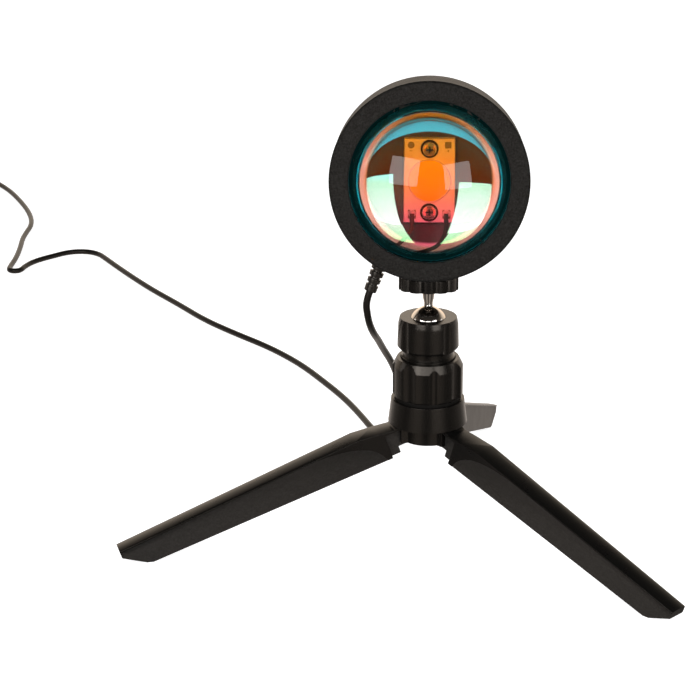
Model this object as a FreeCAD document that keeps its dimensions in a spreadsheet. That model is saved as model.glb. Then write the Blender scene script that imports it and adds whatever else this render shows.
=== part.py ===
import FreeCAD, Part
import math
import os
import re

import Sketcher

# Sunset projection lamp: a drum head with a domed lens, held by a ball head on a
# folding mini tripod, with a thin USB lead.
#
# Frame: millimetres, +Z up, the floor at Z = 0, the lamp facing -Y. Everything is drawn
# about the tripod's upright axis; the pieces are handed on in a frame whose origin is the
# middle of the tripod's footprint. The driving sizes are the cells of one spreadsheet.
# Lengths are in millimetres and angles in degrees.

SIZES = {
    # tripod hub
    "hub_foot_radius": 11.4,
    "hub_foot_height": 41.4,
    "foot_rise": 7.5,
    "skirt_radius": 16.6,
    "skirt_rise": 10.4,
    "rim_radius": 15.35,
    "rim_wall": 1.5,
    "pad_depth": 1.8,
    "pad_thickness": 3.2,
    "screw_radius": 3.15,
    "screw_head_radius": 5.0,
    "screw_head_thickness": 3.4,
    "screw_reach": 9.0,
    "cap_thickness": 1.6,
    "seat_gap": 0.1,
    "running_gap": 0.05,
    # leg hinges
    "pin_distance": 9.7,
    "pin_rise": 2.8,
    "pin_radius": 1.25,
    "pin_half_length": 4.4,
    "ear_half_width": 5.2,
    "ear_reach": 3.3,
    "tongue_half_width": 3.0,
    "tongue_radius": 3.3,
    "slot_gap": 0.2,
    "leg_azimuth": 197.3,
    # legs, along and square to the lower edge, measured from the hinge pin
    "leg_slope": 18.9,
    "leg_length": 129.5,
    "leg_shoulder": 28.0,
    "leg_drop": 6.3,
    "leg_rise_root": 7.25,
    "leg_rise_tip": 3.75,
    "leg_crown": 0.75,
    "leg_root": 9.35,
    "leg_width_root": 10.8,
    "leg_width_tip": 8.4,
    "leg_wall": 1.8,
    "knuckle_end": 5.1,
    "nose_top": 5.93,
    "nose_reach": 2.0,
    "nose_length": 12.0,
    "nose_thickness": 1.63,
    "heel_pad": 2.6,
    "foot_height": 0.9,
    # ball head
    "base_radius": 14.7,
    "base_edge": 0.6,
    "base_shoulder_height": 13.2,
    "base_bevel": 1.7,
    "base_ring_height": 16.5,
    "base_ring_wall": 1.4,
    "base_groove_depth": 1.2,
    "neck_height": 25.8,
    "neck_wall": 2.0,
    "bead_width": 0.85,
    "bead_height": 1.9,
    "insert_radius": 4.8,
    "insert_length": 9.5,
    "big_flute_width": 8.2,
    "big_flute_depth": 1.5,
    "small_flute_width": 4.6,
    "small_flute_depth": 0.9,
    "flute_azimuth": 56.0,
    "ball_radius": 8.2,
    "ball_rise": 4.56,
    "cup_wall": 0.2,
    "cup_floor": 2.96,
    "cup_lip": 0.3,
    "collar_skirt": 5.6,
    "collar_foot_wall": 1.0,
    "collar_wall": 2.4,
    "collar_foot_bevel": 1.5,
    "collar_shoulder_rise": 1.04,
    "collar_crown": 2.8,
    "collar_bevel": 0.6,
    "collar_clearance": 0.6,
    "collar_flute_width": 5.6,
    "collar_flute_depth": 1.05,
    "collar_flute_azimuth": 40.0,
    "stem_radius": 1.75,
    "stem_top_radius": 2.35,
    "stem_flare_radius": 2.1,
    "stem_length": 6.8,
    "stud_grip": 7.0,
    "thread_chamfer": 0.6,
    "nut_height": 5.35,
    "nut_radius": 12.55,
    "nut_bevel": 0.9,
    "nut_gap": 0.15,
    "lobe_radius": 2.9,
    "lobe_depth": 1.3,
    # lamp head
    "head_tilt": 8.2,
    "head_radius": 40.8,
    "head_depth": 30.0,
    "head_wall": 2.4,
    "lip_width": 8.0,
    "lip_thickness": 2.4,
    "lip_edge": 0.4,
    "edge_round": 0.8,
    "boss_radius": 7.0,
    "boss_length": 10.5,
    "lens_flange_lip": 1.5,
    "lens_flange_thickness": 2.0,
    "lens_edge": 0.4,
    "dome_radius": 44.0,
    "ring_thickness": 2.0,
    "ring_width": 7.0,
    "plate_thickness": 2.5,
    "ledge_width": 3.2,
    "ledge_thickness": 2.0,
    "cover_thickness": 2.4,
    "cover_gap": 0.1,
    "board_width": 13.8,
    "board_height": 22.8,
    "board_thickness": 1.6,
    "board_drop": 2.2,
    "emitter_radius": 5.9,
    "emitter_thickness": 0.8,
    "led_screw_spacing": 17.4,
    "led_screw_head": 2.15,
    "led_screw_radius": 1.0,
    "cover_screw_inset": 7.4,
    "cover_screw_radius": 1.5,
    "cover_screw_head": 2.8,
    "cover_screw_rise": 1.4,
    "wire_radius": 0.6,
    # strain relief: its place is counted round the drum from the stud
    "relief_place": 29.15,
    "relief_back": 3.0,
    "relief_angle": 20.4,
    "relief_length": 12.85,
    "relief_root_radius": 3.2,
    "relief_tip_radius": 2.6,
    "relief_neck_radius": 2.5,
    "relief_neck_length": 1.2,
    "relief_slot": 1.0,
    "relief_slot_depth": 0.55,
    "relief_clearance": 0.8,
    "relief_flange_radius": 4.2,
    "relief_flange_thickness": 1.4,
    # lead
    "cord_radius": 1.5,
    "coil_inner_radius": 12.0,
    "coil_pitch": 4.0,
    "coil_layer": 3.75,
    "coil_turns_in": 2.5,
    "coil_turns_out": 2.25,
    "coil_x": -325.0,
    "coil_y": 582.0,
    "coil_start": 20.0,
    # switch on the lead and USB plug
    "switch_length": 44.0,
    "switch_width": 17.0,
    "switch_base_height": 5.5,
    "switch_cover_height": 5.5,
    "switch_wall": 1.6,
    "switch_end": 4.6,
    "switch_corner": 5.0,
    "button_radius": 5.0,
    "button_rise": 1.6,
    "button_travel": 1.2,
    "button_gap": 0.2,
    "contact_height": 4.6,
    "plug_length": 24.0,
    "plug_width": 15.6,
    "plug_height": 7.6,
    "plug_round": 1.6,
    "plug_neck_length": 8.0,
    "plug_neck_radius": 2.4,
    "usb_length": 12.0,
    "usb_width": 12.0,
    "usb_height": 4.5,
    "usb_wall": 0.35,
    "usb_seat": 5.0,
    "tongue_thickness": 1.9,
    "contact_pitch": 2.25,
    "contact_width": 1.2,
    "contact_thickness": 0.4,
}

LEG_NAMES = ("leg_left", "leg_right", "leg_rear")
LEG_STEP = 120.0
LOBES = 12
BASE_FLUTES = 4
COLLAR_FLUTES = 4
COVER_SCREWS = 3
RELIEF_RIBS = 4
LED_SCREWS = 2
CONTACTS = 4
WIRES = ("wire_positive", "wire_negative")

# Heights and radii that follow from the sizes.
SKIRT = "(hub_foot_height + foot_rise)"
RIM = "(hub_foot_height + foot_rise + skirt_rise)"
PIN = "(hub_foot_height + pin_rise)"
BASE_LOW = "(%s - pad_depth + pad_thickness)" % RIM
NECK_TOP = "(%s + neck_height)" % BASE_LOW
NECK = "(ball_radius + cup_wall + neck_wall)"
BALL = "(%s + ball_rise)" % NECK_TOP
CUP_LOW = "(%s - ball_radius - cup_floor)" % BALL
NUT_LOW = "(ball_radius + stem_length)"
HEAD_LOW = "(ball_radius + stem_length + nut_height + nut_gap)"
HEAD_REACH = "(%s + head_radius)" % HEAD_LOW
FRONT = "(head_depth / 2)"
INNER = "(head_radius - head_wall)"
OPENING = "(head_radius - lip_width)"
LENS_FLANGE = "(head_radius - lip_width + lens_flange_lip)"
LENS_BACK = "(head_depth / 2 - lip_thickness - lens_flange_thickness)"
PLATE_FRONT = "(cover_thickness - head_depth / 2 + cover_gap + plate_thickness)"
BOARD_FRONT = "(%s + board_thickness)" % PLATE_FRONT
COVER_CIRCLE = "(head_radius - head_wall - cover_screw_inset)"

# The lead's route, point by point, where its centre line runs. It leaves the strain
# relief, hangs down behind the tripod, lands on the floor and runs away to the left.
DROP_ROUTE = (
    (-25.5, 5.0, 94.0),
    (-24.6, 8.6, 88.0),
    (-23.0, 14.6, 81.9),
    (-21.6, 24.0, 76.4),
    (-19.6, 36.5, 67.6),
    (-16.0, 48.8, 57.0),
    (-12.3, 60.3, 42.5),
    (-9.7, 69.8, 27.0),
    (-9.5, 77.6, 13.6),
    (-12.4, 84.6, 5.0),
    (-18.0, 91.8, 1.5),
    (-24.2, 102.4, 1.5),
)
FLOOR_JOIN = (-29.4, 117.6, 1.5)
LEAD_ROUTE = (
    (-34.6, 132.8, 1.5),
    (-42.4, 151.9, 1.5),
    (-52.2, 172.0, 1.5),
    (-65.2, 197.2, 1.5),
    (-82.7, 222.3, 1.5),
    (-104.0, 245.5, 1.5),
    (-122.0, 267.1, 1.5),
    (-138.7, 293.1, 1.5),
    (-156.0, 318.0, 1.5),
    (-171.0, 342.4, 1.5),
    (-183.0, 363.0, 1.5),
    (-190.8, 377.0, 1.5),
    (-196.0, 386.0, 1.5),
    (-202.3, 390.8, 1.5),
    (-209.8, 391.6, 1.5),
    (-216.8, 388.6, 1.5),
    (-222.6, 382.4, 1.5),
    (-229.2, 375.6, 1.5),
    (-233.8, 368.6, 1.5),
    (-236.4, 361.0, 1.5),
    (-237.6, 353.4, 1.5),
    (-241.1, 351.7, 1.5),
    (-244.5, 353.7, 1.5),
    (-245.0, 360.5, 1.5),
    (-244.6, 371.5, 1.5),
    (-244.9, 386.0, 1.5),
    (-246.0, 401.5, 1.5),
    (-247.6, 417.0, 1.5),
    (-247.6, 431.5, 1.5),
    (-247.2, 443.5, 1.5),
    (-248.6, 455.5, 1.5),
    (-251.8, 468.5, 1.5),
    (-256.4, 482.5, 1.5),
    (-262.2, 497.1, 1.5),
    (-268.4, 511.5, 1.5),
    (-275.6, 526.5, 1.5),
    (-284.4, 541.0, 1.5),
    (-293.0, 554.0, 1.5),
    (-298.8, 566.5, 1.5),
)
TAIL_ROUTE = (
    (-350.8, 594.0, 4.6),
    (-360.0, 586.6, 3.4),
    (-366.8, 576.6, 3.4),
)
SWITCH_PLACE = (-371.0, 532.0)
PLUG_ROUTE = (
    (-370.0, 488.0, 3.8),
    (-366.0, 475.5, 2.4),
    (-360.5, 463.5, 2.8),
)
PLUG_PLACE = (-352.0, 447.0)
PLUG_TURN = 297.0
LEAD_IN = 9.0
RELIEF_RUN = 4.8
COIL_RUN = 9.0
COIL_LEAVE = 6.0
PLUG_RUN = 6.0
COIL_CLIMB = 0.5

doc = FreeCAD.newDocument("sunset_lamp")
sheet = doc.addObject("Spreadsheet::Sheet", "sizes")
for row, (alias, number) in enumerate(SIZES.items(), start=1):
    sheet.set("A%d" % row, str(number))
    sheet.setAlias("A%d" % row, alias)
doc.recompute()

Vector = FreeCAD.Vector
X_AXIS = Vector(1, 0, 0)
Y_AXIS = Vector(0, 1, 0)
Z_AXIS = Vector(0, 0, 1)
kept = []


def size(alias):
    """The number in one of the sheet's cells."""
    return float(sheet.get(alias))


def value(text):
    """The number that an expression in the sizes comes to."""
    words = sorted(set(re.findall(r"[a-z_]+[a-z0-9_]*", text)))
    for word in sorted(words, key=len, reverse=True):
        text = re.sub(r"\b%s\b" % word, "(%r)" % size(word), text)
    return float(FreeCAD.Units.Quantity(text).Value)


def bound(text):
    """An expression in which each size's name points at its cell."""
    def cell(found):
        word = found.group(0)
        return "sizes." + word if word in SIZES else word
    return re.sub(r"[a-z_]+[a-z0-9_]*", cell, text)


def tie(item, **expressions):
    """Binds properties of an object to the sheet."""
    for name, text in expressions.items():
        item.setExpression(name, bound(text))
    return item


def move(item, x="0", y="0", z="0"):
    """Binds where an object's origin lies."""
    for axis, text in (("x", x), ("y", y), ("z", z)):
        item.setExpression("Placement.Base." + axis, bound(text))
    return item


def turn(item, axis, angle):
    """Binds how far an object is turned about one axis."""
    item.Placement.Rotation = FreeCAD.Rotation(axis, 10)
    item.setExpression("Placement.Rotation.Angle", bound(angle))
    return item


def keep(item, node):
    """Names an object as one of the lamp's pieces."""
    item.Label = node
    kept.append(item)
    return item


def cylinder(name, radius, height, **place):
    item = tie(doc.addObject("Part::Cylinder", name), Radius=radius, Height=height)
    return move(item, **place)


def cone(name, low, high, height, **place):
    item = doc.addObject("Part::Cone", name)
    tie(item, Radius1=low, Radius2=high, Height=height)
    return move(item, **place)


def ball(name, radius, **place):
    return move(tie(doc.addObject("Part::Sphere", name), Radius=radius), **place)


def block(name, length, width, height, x="0", y="0", z="0"):
    """A box that is centred on X and Y and stands on Z."""
    item = doc.addObject("Part::Box", name)
    tie(item, Length=length, Width=width, Height=height)
    return move(item, "(%s) - (%s) / 2" % (x, length), "(%s) - (%s) / 2" % (y, width), z)


def bar(name, length, width, height, x, y, z):
    """A box that starts at x and z and is centred on y."""
    item = doc.addObject("Part::Box", name)
    tie(item, Length=length, Width=width, Height=height)
    return move(item, x, "(%s) - (%s) / 2" % (y, width), z)


def join(name, shapes):
    item = doc.addObject("Part::MultiFuse", name)
    item.Shapes = shapes
    return item


def cut(name, base, tools):
    item = doc.addObject("Part::Cut", name)
    item.Base = base
    item.Tool = tools[0] if len(tools) == 1 else join(name + "_tools", tools)
    return item


def common(name, shapes):
    item = doc.addObject("Part::MultiCommon", name)
    item.Shapes = shapes
    return item


def origin_plane(body, role):
    return [feature for feature in body.Origin.OriginFeatures if feature.Role == role][0]


def outline(body, name, role, corners):
    """A closed sketch whose corners, given as pairs of expressions, are all bound."""
    sketch = body.newObject("Sketcher::SketchObject", name)
    sketch.AttachmentSupport = [(origin_plane(body, role), "")]
    sketch.MapMode = "FlatFace"
    count = len(corners)
    start = [Vector(math.cos(math.tau * k / count), math.sin(math.tau * k / count), 0)
             for k in range(count)]
    for k in range(count):
        sketch.addGeometry(Part.LineSegment(start[k], start[(k + 1) % count]))
    for k in range(count):
        sketch.addConstraint(Sketcher.Constraint("Coincident", k, 2, (k + 1) % count, 1))
    for k, pair in enumerate(corners):
        for kind, text in zip(("DistanceX", "DistanceY"), pair):
            place = sketch.addConstraint(Sketcher.Constraint(kind, -1, 1, k, 1, 1.0))
            sketch.setExpression("Constraints[%d]" % place, bound(text))
    return sketch


def lathe(name, corners):
    """A body turned about Z from a profile of (radius, height) corners."""
    body = doc.addObject("PartDesign::Body", name)
    sketch = outline(body, name + "_profile", "XZ_Plane", corners)
    doc.recompute()
    feature = body.newObject("PartDesign::Revolution", name + "_turned")
    feature.Profile = (sketch, [""])
    feature.ReferenceAxis = (sketch, ["V_Axis"])
    feature.Angle = 360.0
    sketch.Visibility = False
    return body


def slab(name, role, corners, thickness):
    """A body padded both ways from its outline."""
    body = doc.addObject("PartDesign::Body", name)
    sketch = outline(body, name + "_outline", role, corners)
    doc.recompute()
    feature = body.newObject("PartDesign::Pad", name + "_pad")
    feature.Profile = (sketch, [""])
    feature.Midplane = True
    tie(feature, Length=thickness)
    return body


def flute(name, width, depth, wall, low, top, angle):
    """A round cutter that runs down the side of a turned piece of radius wall."""
    radius = "((%s)^2 / (8 * (%s)) + (%s) / 2)" % (width, depth, depth)
    reach = "((%s) + %s - (%s))" % (wall, radius, depth)
    return cylinder(name, radius, "(%s) - (%s)" % (top, low), x="%s * cos(%s)" % (reach, angle),
                    y="%s * sin(%s)" % (reach, angle), z=low)


def arc_edge(start, start_direction, end):
    """The arc that leaves start along start_direction and reaches end."""
    chord = end - start
    along = chord.dot(start_direction)
    across = chord - start_direction * along
    if across.Length < 1e-6:
        return Part.LineSegment(start, end).toShape()
    side = across.normalize()
    radius = chord.dot(chord) / (2.0 * chord.dot(side))
    centre = start + side * radius
    middle = (start + end) * 0.5 - centre
    if along < 0:
        middle = middle * -1.0
    middle = centre + middle.normalize() * abs(radius)
    return Part.Arc(start, middle, end).toShape()


def biarc(start, start_direction, end, end_direction):
    """Two arcs that meet smoothly between two places with set directions."""
    chord = end - start
    both = start_direction + end_direction
    a = 2.0 * (1.0 - start_direction.dot(end_direction))
    b = 2.0 * chord.dot(both)
    c = -chord.dot(chord)
    if abs(a) < 1e-9:
        reach = -c / b
    else:
        reach = (-b + math.sqrt(b * b - 4.0 * a * c)) / (2.0 * a)
    meet = (start + start_direction * reach + end - end_direction * reach) * 0.5
    first = arc_edge(start, start_direction, meet)
    turned = (end - end_direction * reach) - (start + start_direction * reach)
    second = arc_edge(meet, turned.normalize(), end)
    return [first, second]


def rounded_path(points):
    """Straight runs joined by tangent arcs, each as large as its two runs allow."""
    edges = []
    radii = []
    start = points[0]
    for before, corner, after in zip(points, points[1:], points[2:]):
        back = (before - corner)
        ahead = (after - corner)
        reach = 0.45 * min(back.Length, ahead.Length)
        back.normalize()
        ahead.normalize()
        half_turn = (math.pi - back.getAngle(ahead)) / 2.0
        radii.append(reach / math.tan(half_turn))
        first = corner + back * reach
        last = corner + ahead * reach
        inward = (back + ahead).normalize()
        middle = corner + inward * (radii[-1] / math.cos(half_turn) - radii[-1])
        edges.append(Part.LineSegment(start, first).toShape())
        edges.append(Part.Arc(first, middle, last).toShape())
        start = last
    edges.append(Part.LineSegment(start, points[-1]).toShape())
    return edges, radii


def tube(node, edges, start, direction, radius):
    """A round tube swept along joined edges, kept as one of the lamp's pieces."""
    path = Part.Wire(edges)
    ring = Part.Wire(Part.Circle(start, direction, radius).toShape())
    shape = path.makePipeShell([ring], True, False)
    expected = math.pi * radius ** 2 * path.Length
    print("%s: length %.1f, volume over section times length %.4f"
          % (node, path.Length, shape.Volume / expected))
    item = doc.addObject("Part::Feature", node)
    item.Shape = shape
    keep(item, node)
    return path.Length


def cord(node, points):
    """A stretch of the lead along its route."""
    points = [Vector(*point) for point in points]
    edges, radii = rounded_path(points)
    print("%s radii: %s" % (node, " ".join("%.1f" % radius for radius in radii)))
    return tube(node, edges, points[0], points[1] - points[0], size("cord_radius"))


# ---------------------------------------------------------------- tripod hub
def make_hub():
    """The moulded hub: skirt, foot and three pairs of ears, bored for the screw."""
    core = lathe("hub_core", [
        ("0", "hub_foot_height"),
        ("hub_foot_radius", "hub_foot_height"),
        ("hub_foot_radius", SKIRT),
        ("skirt_radius", SKIRT),
        ("rim_radius", RIM),
        ("rim_radius - rim_wall", RIM),
        ("rim_radius - rim_wall", RIM + " - pad_depth"),
        ("0", RIM + " - pad_depth"),
    ])
    solids = [core]
    tools = [
        cylinder("hub_bore", "screw_radius + running_gap", RIM),
        cylinder("hub_counterbore", "screw_head_radius + seat_gap",
                 SKIRT + " + screw_head_thickness", z="0"),
    ]
    for index in range(len(LEG_NAMES)):
        angle = "leg_azimuth + %s" % (index * LEG_STEP)
        ear = doc.addObject("Part::Box", "hub_ear_%d" % index)
        tie(ear, Length="pin_distance + ear_reach", Width="2 * ear_half_width",
            Height="foot_rise + seat_gap")
        slot = doc.addObject("Part::Box", "hub_slot_%d" % index)
        tie(slot, Length="skirt_radius", Width="2 * (tongue_half_width + slot_gap)",
            Height=PIN + " + tongue_radius + 2 * slot_gap")
        hole = tie(doc.addObject("Part::Cylinder", "hub_pin_hole_%d" % index),
                   Radius="pin_radius + running_gap",
                   Height="2 * (pin_half_length + running_gap)")
        for item, out, side, up in (
                (ear, "0", "-ear_half_width", "hub_foot_height"),
                (slot, "pin_distance - tongue_radius - 2 * slot_gap",
                 "-(tongue_half_width + slot_gap)", "0")):
            turn(item, Z_AXIS, angle)
            move(item, "(%s) * cos(%s) - (%s) * sin(%s)" % (out, angle, side, angle),
                 "(%s) * sin(%s) + (%s) * cos(%s)" % (out, angle, side, angle), up)
        place_across(hole, index, "pin_half_length + running_gap")
        solids.append(ear)
        tools += [slot, hole]
    return keep(cut("hub_cut", join("hub_solids", solids), tools), "hub")


def place_across(item, index, back):
    """Lays a cylinder along a leg's hinge line, starting to one side of the leg."""
    azimuth = size("leg_azimuth") + index * LEG_STEP
    item.Placement.Rotation = FreeCAD.Rotation(Z_AXIS, azimuth).multiply(
        FreeCAD.Rotation(X_AXIS, -90))
    angle = "leg_azimuth + %s" % (index * LEG_STEP)
    move(item, "pin_distance * cos(%s) + (%s) * sin(%s)" % (angle, back, angle),
         "pin_distance * sin(%s) - (%s) * cos(%s)" % (angle, back, angle), PIN)


def make_hub_fittings():
    """The screw through the hub, its cap, the rubber pad on top and the hinge pins."""
    head = doc.addObject("Part::Prism", "screw_head")
    head.Polygon = 6
    tie(head, Circumradius="screw_head_radius", Height="screw_head_thickness")
    move(head, z=SKIRT)
    shank = cylinder("screw_shank", "screw_radius",
                     "skirt_rise - screw_head_thickness + screw_reach",
                     z=SKIRT + " + screw_head_thickness")
    keep(join("screw", [head, shank]), "tripod_screw")
    keep(cylinder("cap_disc", "screw_head_radius", "cap_thickness", z="hub_foot_height"),
         "hub_cap")
    pad = cylinder("pad_disc", "rim_radius - rim_wall - seat_gap", "pad_thickness",
                   z=RIM + " - pad_depth")
    pad_hole = cylinder("pad_hole", "screw_radius + seat_gap", RIM + " + pad_thickness")
    keep(cut("pad", pad, [pad_hole]), "top_pad")
    pins = []
    for index in range(len(LEG_NAMES)):
        pin = tie(doc.addObject("Part::Cylinder", "pin_%d" % index),
                  Radius="pin_radius", Height="2 * pin_half_length")
        place_across(pin, index, "pin_half_length")
        pins.append(pin)
    keep(join("pins", pins), "hinge_pins")


# ---------------------------------------------------------------- legs
def make_leg(index, node):
    """One leg. Its own X runs along the lower edge from the hinge pin and Z is square to it."""
    heel = "((%s - leg_drop * cos(leg_slope)) / sin(leg_slope))" % PIN
    under_nose = "(nose_top - nose_thickness)"
    profile = slab(node + "_side", "XZ_Plane", [
        ("leg_root", "-leg_drop"),
        (heel, "-leg_drop"),
        (heel + " + heel_pad", "heel_pad * tan(leg_slope) - leg_drop"),
        ("leg_length", "foot_height"),
        ("leg_length", "leg_rise_tip + leg_crown"),
        ("leg_shoulder", "leg_rise_root + leg_crown"),
        ("leg_shoulder - leg_drop", "leg_rise_root + 0.5 * leg_crown"),
        ("nose_length", "leg_rise_root - 0.55 * nose_thickness"),
        ("0.41 * nose_length", "nose_top - 0.43 * nose_thickness"),
        ("nose_reach + 0.74 * nose_thickness", "nose_top"),
        ("nose_reach", "nose_top - 0.25 * nose_thickness"),
        ("nose_reach + 0.25 * nose_thickness", under_nose),
        ("leg_root", under_nose),
    ], "2 * leg_width_root")
    plan = slab(node + "_plan", "XY_Plane", [
        ("0", "-leg_width_root / 2"),
        ("leg_length + leg_wall", "-leg_width_tip / 2"),
        ("leg_length + leg_wall", "leg_width_tip / 2"),
        ("0", "leg_width_root / 2"),
    ], "6 * leg_drop")
    crown = "(leg_width_root^2 / 4 + leg_crown^2) / (2 * leg_crown)"
    barrel = cylinder(node + "_barrel", crown, "leg_length * 1.5")
    fall = math.atan((size("leg_rise_root") - size("leg_rise_tip"))
                     / (size("leg_length") - size("leg_shoulder")))
    barrel.Placement.Rotation = FreeCAD.Rotation(Y_AXIS, 90 + math.degrees(fall))
    move(barrel, "0", "0", "leg_rise_root + leg_crown - %s + leg_shoulder * %s"
         % (crown, math.tan(fall)))
    shell = common(node + "_shell", [profile, plan, barrel])
    knuckle = slab(node + "_knuckle", "XZ_Plane", [
        ("0", "-tongue_radius"),
        ("knuckle_end", "-tongue_radius"),
        ("knuckle_end", "-leg_drop"),
        ("leg_root + leg_wall", "-leg_drop"),
        ("leg_root + leg_wall", under_nose + " + seat_gap"),
        ("tongue_radius", under_nose + " + seat_gap"),
        ("0", "tongue_radius"),
    ], "2 * tongue_half_width")
    eye = tie(doc.addObject("Part::Cylinder", node + "_eye"), Radius="tongue_radius",
              Height="2 * tongue_half_width")
    eye.Placement.Rotation = FreeCAD.Rotation(X_AXIS, 90)
    move(eye, y="tongue_half_width")
    hole = tie(doc.addObject("Part::Cylinder", node + "_hole"),
               Radius="pin_radius + running_gap", Height="4 * tongue_half_width")
    hole.Placement.Rotation = FreeCAD.Rotation(X_AXIS, 90)
    move(hole, y="2 * tongue_half_width")
    channel = slab(node + "_channel", "XY_Plane", [
        ("leg_root + 5 * leg_wall", "-(leg_width_root / 2 - leg_wall - slot_gap)"),
        (heel + " - 5 * leg_wall", "-(leg_width_tip / 2 - leg_wall)"),
        (heel + " - 5 * leg_wall", "leg_width_tip / 2 - leg_wall"),
        ("leg_root + 5 * leg_wall", "leg_width_root / 2 - leg_wall - slot_gap"),
    ], "2 * (leg_drop - leg_wall)")
    move(channel, z="-leg_drop")
    leg = cut(node + "_cut", join(node + "_all", [shell, knuckle, eye]), [hole, channel])
    azimuth = size("leg_azimuth") + index * LEG_STEP
    aim = FreeCAD.Rotation(Z_AXIS, azimuth).multiply(FreeCAD.Rotation(Y_AXIS, size("leg_slope")))
    out = FreeCAD.Rotation(Z_AXIS, azimuth).multVec(Vector(size("pin_distance"), 0, 0))
    leg.Placement = FreeCAD.Placement(out + Z_AXIS * value(PIN), aim)
    return keep(leg, node)


# ---------------------------------------------------------------- ball head
def make_ball_base():
    """The fluted knob with its neck, the brass thread in its foot and the ball's cup."""
    ring = "(base_radius - base_bevel)"
    groove = BASE_LOW + " + base_ring_height - base_groove_depth"
    body = lathe("base_turned", [
        ("insert_radius", BASE_LOW),
        ("base_radius - base_edge", BASE_LOW),
        ("base_radius", BASE_LOW + " + base_edge"),
        ("base_radius", BASE_LOW + " + base_shoulder_height"),
        (ring, BASE_LOW + " + base_ring_height"),
        (ring + " - base_ring_wall", BASE_LOW + " + base_ring_height"),
        (ring + " - base_ring_wall", groove),
        (NECK + " + bead_width", groove),
        (NECK + " + bead_width", groove + " + bead_height"),
        (NECK, groove + " + bead_height + bead_width"),
        (NECK, NECK_TOP),
        ("ball_radius + cup_wall", NECK_TOP),
        ("ball_radius + cup_wall", CUP_LOW),
        ("insert_radius", CUP_LOW),
    ])
    flutes = []
    for k in range(BASE_FLUTES):
        step = k * 360.0 / BASE_FLUTES
        flutes.append(flute("big_flute_%d" % k, "big_flute_width", "big_flute_depth",
                            "base_radius", BASE_LOW + " - base_edge", NECK_TOP,
                            "(flute_azimuth - 90 + %s)" % step))
        flutes.append(flute("small_flute_%d" % k, "small_flute_width", "small_flute_depth",
                            "base_radius", BASE_LOW + " - base_edge", NECK_TOP,
                            "(flute_azimuth - 45 + %s)" % step))
    keep(cut("base_cut", body, flutes), "ball_head_base")
    keep(lathe("insert_turned", [
        ("screw_radius + running_gap", BASE_LOW),
        ("insert_radius", BASE_LOW),
        ("insert_radius", BASE_LOW + " + insert_length"),
        ("screw_radius + running_gap", BASE_LOW + " + insert_length"),
    ]), "base_insert")
    cup = cylinder("cup_block", "ball_radius + cup_wall",
                   "ball_radius - ball_rise + cup_floor + cup_lip", z=CUP_LOW)
    hollow = ball("cup_hollow", "ball_radius + running_gap", z=BALL)
    keep(cut("cup", cup, [hollow]), "ball_seat")


def make_collar():
    """The clamp collar that screws down over the ball."""
    wide = "(%s + collar_wall)" % NECK
    low = NECK_TOP + " - collar_skirt"
    shoulder = BALL + " + collar_shoulder_rise"
    inside = NECK_TOP + " + 2 * collar_clearance"
    body = lathe("collar_turned", [
        (NECK + " + seat_gap", low),
        (NECK + " + seat_gap + collar_foot_wall", low),
        (wide, low + " + collar_foot_bevel"),
        (wide + " - collar_bevel / 2", shoulder),
        (wide + " - 1.5 * collar_bevel", shoulder + " + collar_crown"),
        ("ball_radius / 2", shoulder + " + collar_crown"),
        ("ball_radius / 2", BALL),
        ("ball_radius + collar_clearance", BALL + " - 2 * collar_clearance"),
        ("ball_radius + collar_clearance", inside),
        (NECK + " + seat_gap", inside),
    ])
    tools = [ball("collar_seat", "ball_radius + running_gap", z=BALL)]
    for k in range(COLLAR_FLUTES):
        angle = "(collar_flute_azimuth - 90 + %s)" % (k * 360.0 / COLLAR_FLUTES)
        tools.append(flute("collar_flute_%d" % k, "collar_flute_width", "collar_flute_depth",
                           wide, low + " - collar_crown",
                           shoulder + " + 2 * collar_crown", angle))
    keep(cut("collar_cut", body, tools), "clamp_collar")


def seat_on_stud(item):
    """Stands a piece that was made along Z on the tilted stud, with its origin in the ball."""
    turn(item, X_AXIS, "-head_tilt")
    return move(item, z=BALL)


def make_stud():
    """The chromed ball with its stem and threaded end, and the lobed lock nut on it."""
    sphere = ball("stud_ball", "ball_radius")
    tip = HEAD_LOW + " + stud_grip"
    stem = lathe("stud_stem", [
        ("0", "ball_radius / 2"),
        ("stem_flare_radius", "ball_radius / 2"),
        ("stem_flare_radius", "ball_radius + 0.1 * stem_radius"),
        ("stem_radius", "ball_radius + 0.5 * stem_radius"),
        ("stem_top_radius", NUT_LOW + " - 0.2 * stem_top_radius"),
        ("screw_radius", NUT_LOW),
        ("screw_radius", tip + " - thread_chamfer"),
        ("screw_radius - thread_chamfer", tip),
        ("0", tip),
    ])
    keep(seat_on_stud(join("stud", [sphere, stem])), "ball_stud")
    lobes = [cylinder("nut_core", "nut_radius - lobe_depth", "nut_height", z=NUT_LOW)]
    reach = "(nut_radius - lobe_radius)"
    for k in range(LOBES):
        angle = "%s" % (360.0 * (k + 0.5) / LOBES)
        lobes.append(cylinder("nut_lobe_%d" % k, "lobe_radius", "nut_height",
                              x="%s * cos(%s)" % (reach, angle),
                              y="%s * sin(%s)" % (reach, angle), z=NUT_LOW))
    bevel = lathe("nut_limit", [
        ("screw_radius + running_gap", NUT_LOW),
        ("nut_radius - nut_bevel", NUT_LOW),
        ("nut_radius", NUT_LOW + " + 1.4 * nut_bevel"),
        ("nut_radius", NUT_LOW + " + nut_height"),
        ("screw_radius + running_gap", NUT_LOW + " + nut_height"),
    ])
    keep(seat_on_stud(common("nut", [join("nut_solids", lobes), bevel])), "thumb_nut")


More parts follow.
